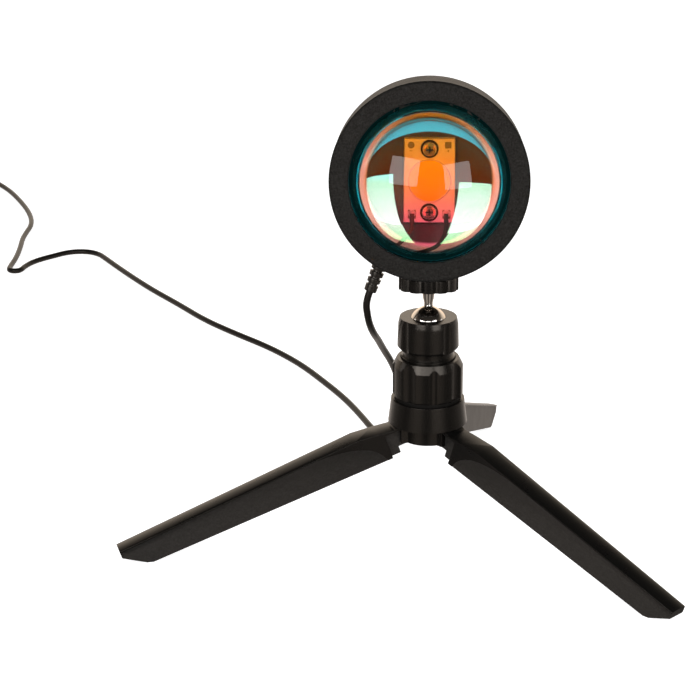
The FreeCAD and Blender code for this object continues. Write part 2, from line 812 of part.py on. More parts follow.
# ---------------------------------------------------------------- lamp head
def seat_in_head(item):
    """Stands a piece that was made along Z in the drum: Z forward, Y up along the stud."""
    turn(item, X_AXIS, "90 - head_tilt")
    return move(item, y="%s * sin(head_tilt)" % HEAD_REACH,
                z="%s + %s * cos(head_tilt)" % (BALL, HEAD_REACH))


def relief_frame():
    """The drum's place, and in it where the strain relief leaves with its Z pointing out."""
    lean = math.radians(size("head_tilt"))
    reach = value(HEAD_REACH)
    drum = FreeCAD.Placement(
        Vector(0, reach * math.sin(lean), value(BALL) + reach * math.cos(lean)),
        FreeCAD.Rotation(X_AXIS, 90 - size("head_tilt")))
    place = math.radians(size("relief_place"))
    radius = size("head_radius")
    leaving = FreeCAD.Placement(
        Vector(-radius * math.sin(place), -radius * math.cos(place), -size("relief_back")),
        FreeCAD.Rotation(Z_AXIS, -size("relief_angle")).multiply(FreeCAD.Rotation(X_AXIS, 90)))
    return drum, leaving


def make_shell():
    """The drum: side wall, front lip, ledge for the plate, stud boss and screw posts."""
    drum = lathe("shell_turned", [
        (INNER, "-head_depth / 2"),
        ("head_radius - edge_round", "-head_depth / 2"),
        ("head_radius", "-head_depth / 2 + edge_round"),
        ("head_radius", FRONT + " - edge_round"),
        ("head_radius - edge_round", FRONT),
        (OPENING + " + lip_edge", FRONT),
        (OPENING, FRONT + " - lip_edge"),
        (OPENING, FRONT + " - lip_thickness"),
        (INNER, FRONT + " - lip_thickness"),
        (INNER, PLATE_FRONT + " + ledge_thickness"),
        (INNER + " - ledge_width", PLATE_FRONT + " + ledge_thickness"),
        (INNER + " - ledge_width", PLATE_FRONT),
        (INNER, PLATE_FRONT),
    ])
    boss = tie(doc.addObject("Part::Cylinder", "shell_boss"), Radius="boss_radius",
               Height="boss_length")
    boss.Placement.Rotation = FreeCAD.Rotation(X_AXIS, -90)
    move(boss, y="-head_radius + edge_round")
    disc = tie(doc.addObject("Part::Cylinder", "shell_limit"), Radius="head_radius",
               Height="head_depth - 2 * edge_round")
    move(disc, z="-head_depth / 2 + edge_round")
    boss = common("shell_boss_trimmed", [boss, disc])
    bore = tie(doc.addObject("Part::Cylinder", "shell_bore"), Radius="insert_radius",
               Height="boss_length * 3")
    bore.Placement.Rotation = FreeCAD.Rotation(X_AXIS, -90)
    move(bore, y="-head_radius - boss_length")
    hole = tie(doc.addObject("Part::Cylinder", "shell_cord_hole"),
               Radius="relief_neck_radius", Height="8 * head_wall")
    start = FreeCAD.Placement(Vector(0, 0, -4 * size("head_wall")), FreeCAD.Rotation())
    hole.Placement = relief_frame()[1].multiply(start)
    keep(seat_in_head(cut("shell_cut", join("shell_solids", [drum, boss]), [bore, hole])),
         "head_shell")
    insert = cylinder("mount_tube", "insert_radius", "boss_length - edge_round",
                      z=HEAD_LOW + " + edge_round / 2")
    thread = cylinder("mount_thread", "screw_radius + running_gap", HEAD_REACH)
    keep(seat_on_stud(cut("mount_cut", insert, [thread])), "mount_insert")


def make_optics():
    """The domed lens and the ring that holds it against the lip."""
    rim = "(%s - seat_gap)" % OPENING
    flange = cylinder("lens_flange", LENS_FLANGE, "lens_flange_thickness", z=LENS_BACK)
    plug = cylinder("lens_body", rim, "dome_radius", z=LENS_BACK)
    sag = "(dome_radius - sqrt(dome_radius^2 - %s^2))" % rim
    globe = ball("lens_globe", "dome_radius",
                 z=LENS_BACK + " + lens_flange_thickness + lens_edge + " + sag
                 + " - dome_radius")
    dome = common("lens_dome", [plug, globe])
    keep(seat_in_head(join("lens_solid", [flange, dome])), "lens")
    outer = INNER + " - seat_gap"
    keep(seat_in_head(lathe("ring_turned", [
        (outer + " - ring_width", LENS_BACK + " - ring_thickness"),
        (outer, LENS_BACK + " - ring_thickness"),
        (outer, LENS_BACK + " + lens_flange_thickness"),
        (LENS_FLANGE + " + seat_gap", LENS_BACK + " + lens_flange_thickness"),
        (LENS_FLANGE + " + seat_gap", LENS_BACK),
        (outer + " - ring_width", LENS_BACK),
    ])), "lens_ring")


def make_light():
    """The plate with the light board, its emitter and its two screws."""
    back = PLATE_FRONT + " - plate_thickness"
    plate = cylinder("plate_disc", INNER + " - seat_gap", "plate_thickness", z=back)
    board = block("board_block", "board_width", "board_height", "board_thickness",
                  y="-board_drop", z=PLATE_FRONT)
    plate_holes = []
    board_holes = []
    screws = []
    for k in range(LED_SCREWS):
        y = "(%d * led_screw_spacing / 2 - board_drop)" % (2 * k - 1)
        plate_holes.append(cylinder("plate_tap_%d" % k, "led_screw_radius",
                                    "plate_thickness", y=y, z=back))
        board_holes.append(cylinder("board_hole_%d" % k, "led_screw_radius",
                                    "board_thickness", y=y, z=PLATE_FRONT))
        screws.append(cylinder("led_shank_%d" % k, "led_screw_radius",
                               "board_thickness + plate_thickness", y=y, z=back))
        screws.append(cone("led_head_%d" % k, "led_screw_head", "led_screw_head * 0.7",
                           "led_screw_head * 0.6", y=y, z=BOARD_FRONT))
    for k in range(COVER_SCREWS):
        x, y = cover_screw_place(k)
        plate_holes.append(cylinder("plate_hole_%d" % k, "cover_screw_radius",
                                    "plate_thickness", x=x, y=y, z=back))
    keep(seat_in_head(cut("plate_cut", plate, plate_holes)), "heat_plate")
    keep(seat_in_head(cut("board_cut", board, board_holes)), "led_board")
    keep(seat_in_head(join("led_screw_set", screws)), "led_screws")
    disc = lathe("emitter_turned", [
        ("0", "0"),
        ("emitter_radius", "0"),
        ("emitter_radius", "0.7 * emitter_thickness"),
        ("emitter_radius - 0.6 * emitter_thickness", "emitter_thickness"),
        ("0", "emitter_thickness"),
    ])
    turn(disc, X_AXIS, "90 - head_tilt")
    up = "(%s - board_drop)" % HEAD_REACH
    move(disc, y="%s * sin(head_tilt) - %s * cos(head_tilt)" % (up, BOARD_FRONT),
         z="%s + %s * cos(head_tilt) + %s * sin(head_tilt)" % (BALL, up, BOARD_FRONT))
    keep(disc, "led_emitter")


def cover_screw_place(k):
    """Where a cover screw stands, as two expressions."""
    angle = "%s" % (90 + 360.0 * k / COVER_SCREWS)
    return "%s * cos(%s)" % (COVER_CIRCLE, angle), "%s * sin(%s)" % (COVER_CIRCLE, angle)


def make_rear():
    """The rear cover and the three screws that hold it to the plate."""
    cover = lathe("cover_turned", [
        ("0", "-head_depth / 2"),
        (INNER + " - seat_gap", "-head_depth / 2"),
        (INNER + " - seat_gap", "-head_depth / 2 + cover_thickness"),
        ("0", "-head_depth / 2 + cover_thickness"),
    ])
    holes = []
    screws = []
    for k in range(COVER_SCREWS):
        x, y = cover_screw_place(k)
        holes.append(cylinder("cover_hole_%d" % k, "cover_screw_radius", "cover_thickness",
                              x=x, y=y, z="-head_depth / 2"))
        shank = cylinder("cover_shank_%d" % k, "cover_screw_radius",
                         "cover_thickness + cover_gap + plate_thickness",
                         x=x, y=y, z="-head_depth / 2")
        head = cone("cover_head_%d" % k, "cover_screw_head * 0.75", "cover_screw_head",
                    "cover_screw_rise", x=x, y=y, z="-head_depth / 2 - cover_screw_rise")
        screws += [shank, head]
    keep(seat_in_head(cut("cover_cut", cover, holes)), "rear_cover")
    keep(seat_in_head(join("cover_screw_set", screws)), "cover_screws")


def make_wires():
    """The two thin wires from the lead's end to the board's lower pads."""
    drum, leaving = relief_frame()
    behind = size("head_wall") + size("relief_flange_thickness") + 0.3
    inside = leaving.multVec(Vector(0, 0, -behind))
    top = value(BOARD_FRONT) + size("wire_radius") + size("running_gap")
    down = size("board_height") / 2 + size("board_drop")
    radius = size("wire_radius")
    for side, node in zip((-1, 1), WIRES):
        pad = side * (size("board_width") / 2 - 2.2)
        local_points = [
            inside + Vector(side * 0.75, 0, 0),
            inside + Vector(side * 0.8 + 1.0, 4.0, 0.3),
            Vector(pad - 3.4 + side * 1.3, -down - 7.5, (top + inside.z) / 2),
            Vector(pad, -down - 2.5, top),
            Vector(pad, -down + 2.4, top),
        ]
        points = [drum.multVec(point) for point in local_points]
        edges, radii = rounded_path(points)
        tube(node, edges, points[0], points[1] - points[0], radius)


def make_relief():
    """The ribbed strain relief moulded on the lead: inner flange, neck and ribs."""
    corners = [
        ("0", "-head_wall - relief_flange_thickness"),
        ("relief_flange_radius", "-head_wall - relief_flange_thickness"),
        ("relief_flange_radius", "-head_wall - relief_clearance"),
        ("relief_neck_radius", "-head_wall - relief_clearance"),
        ("relief_neck_radius", "relief_neck_length"),
    ]
    ribbed = "(relief_length - relief_neck_length)"
    for k in range(RELIEF_RIBS):
        low = "%s / %d" % (k, RELIEF_RIBS)
        high = "%s / %d" % (k + 1, RELIEF_RIBS)
        radius = "relief_root_radius - (relief_root_radius - relief_tip_radius) * "
        start = "relief_neck_length + %s * %s" % (ribbed, low)
        end = "relief_neck_length + %s * %s" % (ribbed, high)
        corners.append((radius + low, start))
        if k == RELIEF_RIBS - 1:
            corners.append((radius + high, end))
        else:
            corners.append((radius + high, end + " - relief_slot"))
            corners.append(("relief_tip_radius - relief_slot_depth", end + " - relief_slot"))
            corners.append(("relief_tip_radius - relief_slot_depth", end))
    corners.append(("0", "relief_length"))
    item = lathe("relief_turned", corners)
    drum, leaving = relief_frame()
    item.Placement = drum.multiply(leaving)
    return keep(item, "strain_relief")


# ---------------------------------------------------------------- lead, switch and plug
def coil_total():
    """How many turns the coil has in both layers, with the climb between them."""
    return size("coil_turns_in") + COIL_CLIMB + size("coil_turns_out")


def coil_point(turns):
    """A point of the coil's centre line, counted in turns from where the lead enters it."""
    inner = size("coil_inner_radius")
    pitch = size("coil_pitch")
    inward = size("coil_turns_in")
    rest = size("cord_radius")
    climb = COIL_CLIMB
    angle = math.radians(size("coil_start")) + math.tau * turns
    if turns <= inward:
        radius = inner + pitch * (inward - turns)
        height = rest
    elif turns <= inward + climb:
        share = (turns - inward) / climb
        radius = inner
        height = rest + size("coil_layer") * share * share * (3.0 - 2.0 * share)
    else:
        radius = inner + pitch * (turns - inward - climb)
        height = rest + size("coil_layer")
    return Vector(size("coil_x") + radius * math.cos(angle),
                  size("coil_y") + radius * math.sin(angle), height)


def coil_direction(turns, reach=1e-4):
    """Which way the coil's centre line runs at a place."""
    total = coil_total()
    before = coil_point(max(turns - reach, 0.0))
    after = coil_point(min(turns + reach, total))
    return (after - before).normalize()


def make_coil():
    """The spare length, wound in two layers as one unbroken tube."""
    total = coil_total()
    steps = int(round(total * 4))
    straight = 2.0 * size("cord_radius")
    edges = []
    start = coil_point(0.0) - coil_direction(0.0) * straight
    edges.append(Part.LineSegment(start, coil_point(0.0)).toShape())
    for k in range(steps):
        before = total * k / steps
        after = total * (k + 1) / steps
        edges += biarc(coil_point(before), coil_direction(before),
                       coil_point(after), coil_direction(after))
    end = coil_point(total) + coil_direction(total) * straight
    edges.append(Part.LineSegment(coil_point(total), end).toShape())
    length = tube("cord_coil", edges, start, coil_direction(0.0), size("cord_radius"))
    print("cord_coil least gap to itself %.2f" % coil_gap(total))
    return start, end, length


def coil_gap(total):
    """The least clear distance between stretches of the coil that lie side by side."""
    count = 400
    places = [coil_point(total * k / count) for k in range(count + 1)]
    apart = int(count / total * 0.45)
    least = min((places[i] - places[j]).Length
                for i in range(count + 1) for j in range(i + apart, count + 1))
    return least - 2.0 * size("cord_radius")


def make_lead():
    """All stretches of the lead, end to end."""
    drum, leaving = relief_frame()
    frame = drum.multiply(leaving)
    exit_point = frame.multVec(Vector(0, 0, size("relief_length")))
    outward = frame.multVec(Vector(0, 0, size("relief_length") + RELIEF_RUN))
    floor_join = Vector(*FLOOR_JOIN)
    coil_in, coil_out, coil_length = make_coil()
    approach = coil_in - coil_direction(0.0) * COIL_RUN
    leave = coil_out + coil_direction(coil_total()) * COIL_LEAVE
    x, y = SWITCH_PLACE
    middle = size("switch_base_height")
    half = size("switch_length") / 2
    plug_in = plug_frame().Base
    plug_back = plug_frame().multVec(Vector(-PLUG_RUN, 0, 0))
    stretches = (
        ("cord_drop", [exit_point, outward, *DROP_ROUTE, floor_join]),
        ("cord_lead", [floor_join, *LEAD_ROUTE, approach, coil_in]),
        ("cord_tail", [coil_out, leave, *TAIL_ROUTE, (x, y + half + LEAD_IN, middle),
                       (x, y + half, middle)]),
        ("plug_cord", [(x, y - half, middle), (x, y - half - LEAD_IN, middle), *PLUG_ROUTE,
                       plug_back, plug_in]),
    )
    total = coil_length + sum(cord(node, points) for node, points in stretches)
    print("lead length %.0f" % total)


def plug_frame():
    """Where the lead enters the plug; X points on towards the metal end."""
    x, y = PLUG_PLACE
    return FreeCAD.Placement(Vector(x, y, size("plug_height") / 2),
                             FreeCAD.Rotation(Z_AXIS, PLUG_TURN))


def make_plug():
    """The USB plug: moulded grip with its neck, metal shell and contact tongue."""
    neck = tie(doc.addObject("Part::Cone", "plug_neck"), Radius1="plug_neck_radius",
               Radius2="plug_neck_radius * 1.3", Height="plug_neck_length + usb_wall")
    neck.Placement.Rotation = FreeCAD.Rotation(Y_AXIS, 90)
    grip = tie(doc.addObject("Part::Box", "plug_grip"), Length="plug_length",
               Width="plug_width", Height="plug_height")
    move(grip, "plug_neck_length", "-plug_width / 2", "-plug_height / 2")
    soft = doc.addObject("Part::Fillet", "plug_soft")
    soft.Base = grip
    doc.recompute()
    round_off = size("plug_round")
    soft.Edges = [(k + 1, round_off, round_off) for k in range(len(grip.Shape.Edges))]
    pocket = tie(doc.addObject("Part::Box", "plug_pocket"), Length="plug_length",
                 Width="usb_width", Height="usb_height")
    move(pocket, "plug_neck_length + plug_length - usb_seat", "-usb_width / 2",
         "-usb_height / 2")
    body = cut("plug_cut", join("plug_solids", [neck, soft]), [pocket])
    outer = tie(doc.addObject("Part::Box", "usb_outer"), Length="usb_seat + usb_length",
                Width="usb_width", Height="usb_height")
    move(outer, "plug_neck_length + plug_length - usb_seat", "-usb_width / 2",
         "-usb_height / 2")
    inner = tie(doc.addObject("Part::Box", "usb_inner"), Length="2 * usb_length",
                Width="usb_width - 2 * usb_wall", Height="usb_height - 2 * usb_wall")
    move(inner, "plug_neck_length + plug_length - usb_seat + 1", "-usb_width / 2 + usb_wall",
         "-usb_height / 2 + usb_wall")
    shell = cut("usb_cut", outer, [inner])
    start = "plug_neck_length + plug_length - usb_seat + 1"
    face = "usb_height / 2 - usb_wall - tongue_thickness"
    tongue = bar("usb_tongue", "usb_seat + usb_length - 1.5", "usb_width - 2 * usb_wall",
                 "tongue_thickness", start, "0", face)
    grooves = []
    strips = []
    for k in range(CONTACTS):
        y = "%s * contact_pitch" % (k - (CONTACTS - 1) / 2)
        begin = start + " + usb_seat"
        grooves.append(bar("contact_groove_%d" % k, "usb_length - 4", "contact_width",
                           "contact_thickness", begin, y, face))
        strips.append(bar("contact_strip_%d" % k, "usb_length - 4", "contact_width",
                          "contact_thickness", begin, y, face))
    for item, node in ((body, "plug_body"), (shell, "plug_shell"),
                       (cut("tongue_cut", tongue, grooves), "plug_tongue"),
                       (join("contact_strips", strips), "plug_contacts")):
        item.Placement = plug_frame()
        keep(item, node)


def make_switch():
    """The push switch on the lead: two half shells, contact block and button."""
    x, y = SWITCH_PLACE
    x = str(x)
    y = str(y)

    def half_shell(name, low, height, open_up):
        outer = block(name + "_outer", "switch_width", "switch_length", height,
                      x=x, y=y, z=low)
        soft = doc.addObject("Part::Fillet", name + "_soft")
        soft.Base = outer
        doc.recompute()
        upright = [k + 1 for k, edge in enumerate(outer.Shape.Edges)
                   if abs(edge.tangentAt(edge.FirstParameter).z) > 0.9]
        soft.Edges = [(k, size("switch_corner"), size("switch_corner")) for k in upright]
        floor_z = "%s + switch_wall" % low if open_up else low
        inner = block(name + "_inner", "switch_width - 2 * switch_wall",
                      "switch_length - 2 * switch_end", "%s - switch_wall" % height,
                      x=x, y=y, z=floor_z)
        return soft, inner

    soft, inner = half_shell("switch_low", "0", "switch_base_height", True)
    channel = tie(doc.addObject("Part::Cylinder", "switch_low_channel"),
                  Radius="cord_radius + running_gap", Height="3 * switch_length")
    channel.Placement.Rotation = FreeCAD.Rotation(X_AXIS, 90)
    move(channel, x, "%s + 1.5 * switch_length" % y, "switch_base_height")
    keep(cut("switch_low_cut", soft, [inner, channel]), "switch_base")
    soft, inner = half_shell("switch_high", "switch_base_height", "switch_cover_height", False)
    window = cylinder("switch_window", "button_radius + button_gap", "30", x=x, y=y)
    channel = tie(doc.addObject("Part::Cylinder", "switch_high_channel"),
                  Radius="cord_radius + running_gap", Height="3 * switch_length")
    channel.Placement.Rotation = FreeCAD.Rotation(X_AXIS, 90)
    move(channel, x, "%s + 1.5 * switch_length" % y, "switch_base_height")
    keep(cut("switch_high_cut", soft, [inner, channel, window]), "switch_cover")
    keep(block("contact_block", "2 * button_radius", "2 * button_radius", "contact_height",
               x=x, y=y, z="switch_wall"), "switch_contact")
    stem_low = "switch_wall + contact_height + button_travel + 0.3"
    top = "switch_base_height + switch_cover_height + button_rise"
    keep(cylinder("button_disc", "button_radius", "%s - (%s)" % (top, stem_low),
                  x=x, y=y, z=stem_low), "switch_button")


make_hub()
make_hub_fittings()
for leg_index, leg_node in enumerate(LEG_NAMES):
    make_leg(leg_index, leg_node)
make_ball_base()
make_collar()
make_stud()
make_shell()
make_optics()
make_light()
make_rear()
make_wires()
make_relief()
make_lead()
make_plug()
make_switch()
doc.recompute()

failed = [item.Name for item in doc.Objects
          if "Invalid" in item.State or "Error" in item.State]
if failed:
    raise RuntimeError("these did not build: " + ", ".join(failed))

os.makedirs("parts", exist_ok=True)
footprint = FreeCAD.BoundBox()
for item in kept:
    if item.Label in LEG_NAMES:
        footprint.add(item.Shape.BoundBox)
middle = Vector(round(footprint.Center.x, 1), round(footprint.Center.y, 1), 0)
print("upright axis at x %.1f y %.1f in the handed frame" % (-middle.x, -middle.y))
for item in kept:
    shape = item.Shape.copy()
    shape.translate(middle * -1.0)
    if shape.isNull() or not shape.isValid():
        raise RuntimeError(item.Label + " has no valid shape")
    box = shape.BoundBox
    print("%-16s solids %d  volume %9.1f  z %.2f to %.2f"
          % (item.Label, len(shape.Solids), shape.Volume, box.ZMin, box.ZMax))
    shape.exportStep("parts/%s.step" % item.Label)
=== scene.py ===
import math

import bpy
from mathutils import Matrix, Vector


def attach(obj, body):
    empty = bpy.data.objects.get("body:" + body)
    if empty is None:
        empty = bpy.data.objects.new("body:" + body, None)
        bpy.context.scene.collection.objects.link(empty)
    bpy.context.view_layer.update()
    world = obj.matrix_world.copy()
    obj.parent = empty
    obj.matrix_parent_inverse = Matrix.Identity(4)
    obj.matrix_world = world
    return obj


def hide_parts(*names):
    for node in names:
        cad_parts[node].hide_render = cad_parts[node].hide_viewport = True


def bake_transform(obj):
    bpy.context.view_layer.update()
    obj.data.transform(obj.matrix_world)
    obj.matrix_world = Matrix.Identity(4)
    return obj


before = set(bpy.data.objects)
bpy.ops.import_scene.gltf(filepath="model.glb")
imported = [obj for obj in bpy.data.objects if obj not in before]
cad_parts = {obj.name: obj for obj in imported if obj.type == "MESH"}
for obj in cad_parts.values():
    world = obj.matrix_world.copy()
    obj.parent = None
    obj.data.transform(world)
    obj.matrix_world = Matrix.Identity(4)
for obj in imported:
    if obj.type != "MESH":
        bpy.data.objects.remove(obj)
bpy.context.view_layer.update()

# The camera looks down on the lamp from straight in front through a long lens, from
# 0.9 m away. It is turned a little, so that the lamp stands right of the middle.
lamp_x, lamp_y = 0.0137, -0.0185
camera_place = (lamp_x, -0.89135, 0.39069)
camera_pan, camera_dip, camera_roll = 0.0373, 0.342, -0.0045
camera_data = bpy.data.cameras.new("camera")
camera_data.lens = 114.18
camera_data.sensor_width = 36.0
camera = bpy.data.objects.new("camera", camera_data)
bpy.context.collection.objects.link(camera)
camera.matrix_world = (Matrix.Translation(camera_place)
                       @ Matrix.Rotation(camera_pan, 4, "Z")
                       @ Matrix.Rotation(math.pi / 2 - camera_dip, 4, "X")
                       @ Matrix.Rotation(camera_roll, 4, "Z"))
bpy.context.scene.camera = camera


# The lead is a thin round USB cable, 3 mm across, with a smooth black jacket. It drops
# behind the tripod, runs along the table with one tight fold in it, and its spare
# length is wound up just outside the view, before the switch and the plug.
def colour_steps(nodes, *steps):
    """A colour ramp through (share, colour) steps."""
    ramp = nodes.new("ShaderNodeValToRGB")
    ramp.color_ramp.elements.remove(ramp.color_ramp.elements[1])
    for k, (share, colour) in enumerate(steps):
        stop = ramp.color_ramp.elements.new(share) if k else ramp.color_ramp.elements[0]
        stop.position = share
        stop.color = (*colour, 1.0)
    return ramp


def moulded(name, colour, roughness, grain=0.0004, relief=0.00003, mottle=0.12,
            specular=0.3, worn=1.25):
    """A moulded plastic or rubber: fine grain, slightly uneven gloss and a little wear."""
    material = bpy.data.materials.new(name)
    material.use_nodes = True
    nodes, links = material.node_tree.nodes, material.node_tree.links
    shader = nodes["Principled BSDF"]
    shader.inputs["Specular IOR Level"].default_value = specular
    shader.inputs["Specular Tint"].default_value = (1.0, 0.90, 0.80, 1.0)
    place = nodes.new("ShaderNodeTexCoord")
    grains = nodes.new("ShaderNodeTexNoise")
    grains.inputs["Scale"].default_value = 1.0 / grain
    grains.inputs["Detail"].default_value = 3.0
    bump = nodes.new("ShaderNodeBump")
    bump.inputs["Distance"].default_value = relief
    uneven = nodes.new("ShaderNodeTexNoise")
    uneven.inputs["Scale"].default_value = 90.0
    uneven.inputs["Detail"].default_value = 4.0
    gloss = nodes.new("ShaderNodeMapRange")
    gloss.inputs["To Min"].default_value = roughness * (1.0 - mottle)
    gloss.inputs["To Max"].default_value = roughness * (1.0 + mottle)
    tint = colour_steps(nodes, (0.3, colour), (0.75, [worn * part for part in colour]))
    links.new(place.outputs["Object"], grains.inputs["Vector"])
    links.new(place.outputs["Object"], uneven.inputs["Vector"])
    links.new(grains.outputs["Fac"], bump.inputs["Height"])
    links.new(bump.outputs["Normal"], shader.inputs["Normal"])
    links.new(uneven.outputs["Fac"], gloss.inputs["Value"])
    links.new(gloss.outputs["Result"], shader.inputs["Roughness"])
    links.new(grains.outputs["Fac"], tint.inputs["Fac"])
    links.new(tint.outputs["Color"], shader.inputs["Base Color"])
    return material


cord_jacket = moulded("cord_jacket", (0.0040, 0.0036, 0.0033), 0.34, 0.0006, 0.00001,
                      specular=0.22)


def lead_line(name, route):
    """A stretch of the lead as one smooth spline through its route."""
    data = bpy.data.curves.new(name, "CURVE")
    data.dimensions = "3D"
    data.resolution_u = 16
    spline = data.splines.new("NURBS")
    spline.points.add(len(route) - 1)
    for point, place in zip(spline.points, route):
        point.co = (*place, 1.0)
    spline.order_u = 3
    spline.use_endpoint_u = True
    piece = bpy.data.objects.new(name, data)
    bpy.context.collection.objects.link(piece)
    return piece


lead_thickness = 0.003
floor_join = (-0.0157, 0.0991, 0.0015)
lead_route = [
    floor_join,
    (-0.0209, 0.1143, 0.0015), (-0.0287, 0.1334, 0.0015), (-0.0385, 0.1535, 0.0015),
    (-0.0515, 0.1787, 0.0015), (-0.0690, 0.2038, 0.0015), (-0.0903, 0.2270, 0.0015),
    (-0.1083, 0.2486, 0.0015), (-0.1250, 0.2746, 0.0015), (-0.1423, 0.2995, 0.0015),
    (-0.1573, 0.3239, 0.0015), (-0.1693, 0.3445, 0.0015), (-0.1771, 0.3585, 0.0015),
    (-0.1823, 0.3675, 0.0015), (-0.1886, 0.3723, 0.0015), (-0.1961, 0.3731, 0.0015),
    (-0.2031, 0.3701, 0.0015), (-0.2089, 0.3639, 0.0015), (-0.2155, 0.3571, 0.0015),
    (-0.2201, 0.3501, 0.0015), (-0.2227, 0.3425, 0.0015), (-0.2239, 0.3349, 0.0015),
    (-0.2274, 0.3332, 0.0015), (-0.2308, 0.3352, 0.0015), (-0.2313, 0.3420, 0.0015),
    (-0.2309, 0.3530, 0.0015), (-0.2312, 0.3675, 0.0015), (-0.2323, 0.3830, 0.0015),
    (-0.2339, 0.3985, 0.0015), (-0.2339, 0.4130, 0.0015), (-0.2335, 0.4250, 0.0015),
    (-0.2349, 0.4370, 0.0015), (-0.2381, 0.4500, 0.0015), (-0.2427, 0.4640, 0.0015),
    (-0.2485, 0.4786, 0.0015), (-0.2547, 0.4930, 0.0015), (-0.2619, 0.5080, 0.0015),
    (-0.2707, 0.5225, 0.0015), (-0.2793, 0.5355, 0.0015), (-0.2851, 0.5480, 0.0015),
    (-0.2865, 0.5597, 0.0015),
]
coil_middle = Vector((-0.3113, 0.5635, 0.0))
turns_in, turns_out, points_a_turn = 2.5, 2.25, 16
coil_start = math.radians(20.0)
inner_turn, turn_step, on_the_table, climb_height = 0.012, 0.004, 0.0015, 0.00375
for step in range(int((turns_in + 0.5 + turns_out) * points_a_turn) + 1):
    turns = step / points_a_turn
    climb = min(max((turns - turns_in) / 0.5, 0.0), 1.0)
    width = inner_turn + turn_step * max(turns_in - turns, turns - turns_in - 0.5, 0.0)
    around = coil_start + math.tau * turns
    lead_route.append(coil_middle + Vector((
        1.01 * width * math.cos(around), 1.01 * width * math.sin(around),
        on_the_table + climb_height * climb * climb * (3.0 - 2.0 * climb))))
lead_route += [
    (-0.3269, 0.5801, 0.00525),
    (-0.3371, 0.5755, 0.0046), (-0.3463, 0.5681, 0.0034), (-0.3531, 0.5581, 0.0034),
    (-0.3573, 0.5445, 0.0055), (-0.3573, 0.5355, 0.0055),
]
lead = lead_line("lead", lead_route)
plug_lead = lead_line("plug_lead", [
    (-0.3573, 0.4915, 0.0055), (-0.3573, 0.4825, 0.0055), (-0.3563, 0.4695, 0.0038),
    (-0.3523, 0.4570, 0.0024), (-0.3468, 0.4450, 0.0028), (-0.3410, 0.4338, 0.0038),
    (-0.3383, 0.4285, 0.0038),
])
for cable in (lead, plug_lead):
    cable.data.bevel_depth = lead_thickness / 2
    cable.data.bevel_resolution = 6
    cable.data.use_fill_caps = True
    cable.data.materials.append(cord_jacket)
    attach(cable, "hub")
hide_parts("cord_lead", "cord_coil", "cord_tail")
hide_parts("plug_cord")

# The hanging part of the lead crosses three joints on its way down, so its line is cut into
# three stretches at these joints, one for each two pieces it hangs between.
drop = lead_line("drop_line", [
    (-0.01065, -0.01359, 0.10413), (-0.01233, -0.01423, 0.09968),
    (-0.0118, -0.0135, 0.0940), (-0.0109, -0.0099, 0.0880), (-0.0093, -0.0039, 0.0819),
    (-0.0079, 0.0055, 0.0764), (-0.0059, 0.0180, 0.0676), (-0.0023, 0.0303, 0.0570),
    (0.0014, 0.0418, 0.0425), (0.0040, 0.0513, 0.0270), (0.0042, 0.0591, 0.0136),
    (0.0013, 0.0661, 0.0050), (-0.0043, 0.0733, 0.0015), (-0.0105, 0.0839, 0.0015),
    floor_join,
])
drop_places = [corner.co.copy() for corner in bpy.data.meshes.new_from_object(drop).vertices]
bpy.data.objects.remove(drop)
reached = [0.0]
for before, after in zip(drop_places, drop_places[1:]):
    reached.append(reached[-1] + (after - before).length)
upper_cut, lower_cut = 0.055, 0.105
for name, first, last, above, below in (
        ("lead_drop_top", 0.0, upper_cut, "head", "stud"),
        ("lead_drop_middle", upper_cut, lower_cut, "stud", "pan"),
        ("lead_drop_bottom", lower_cut, reached[-1], "pan", "hub")):
    low = min(k for k, along in enumerate(reached) if along >= first)
    high = min(k for k, along in enumerate(reached) if along >= last)
    places = drop_places[low:high + 1]
    data = bpy.data.curves.new(name, "CURVE")
    data.dimensions = "3D"
    data.bevel_depth = lead_thickness / 2
    data.bevel_resolution = 6
    spline = data.splines.new("POLY")
    spline.points.add(len(places) - 1)
    for point, place in zip(spline.points, places):
        point.co = (*place, 1.0)
    stretch = bpy.data.objects.new(name, data)
    bpy.context.collection.objects.link(stretch)
    bpy.ops.object.select_all(action="DESELECT")
    stretch.select_set(True)
    bpy.context.view_layer.objects.active = stretch
    bpy.ops.object.convert(target="MESH")
    bpy.ops.object.shade_smooth()
    stretch = bpy.context.view_layer.objects.active
    stretch.data.materials.append(cord_jacket)
    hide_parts("cord_drop")
    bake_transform(stretch)


# The tripod hub is one black moulding with a flared skirt and three pairs of ears for
# the legs. Its mould leaves a small round on every edge, which catches the light.
def level_shading(piece):
    """Keeps the flat faces of a rounded piece looking flat."""
    weigh = piece.modifiers.new("weigh", "WEIGHTED_NORMAL")
    weigh.keep_sharp = True
    bpy.ops.object.modifier_apply(modifier="weigh")


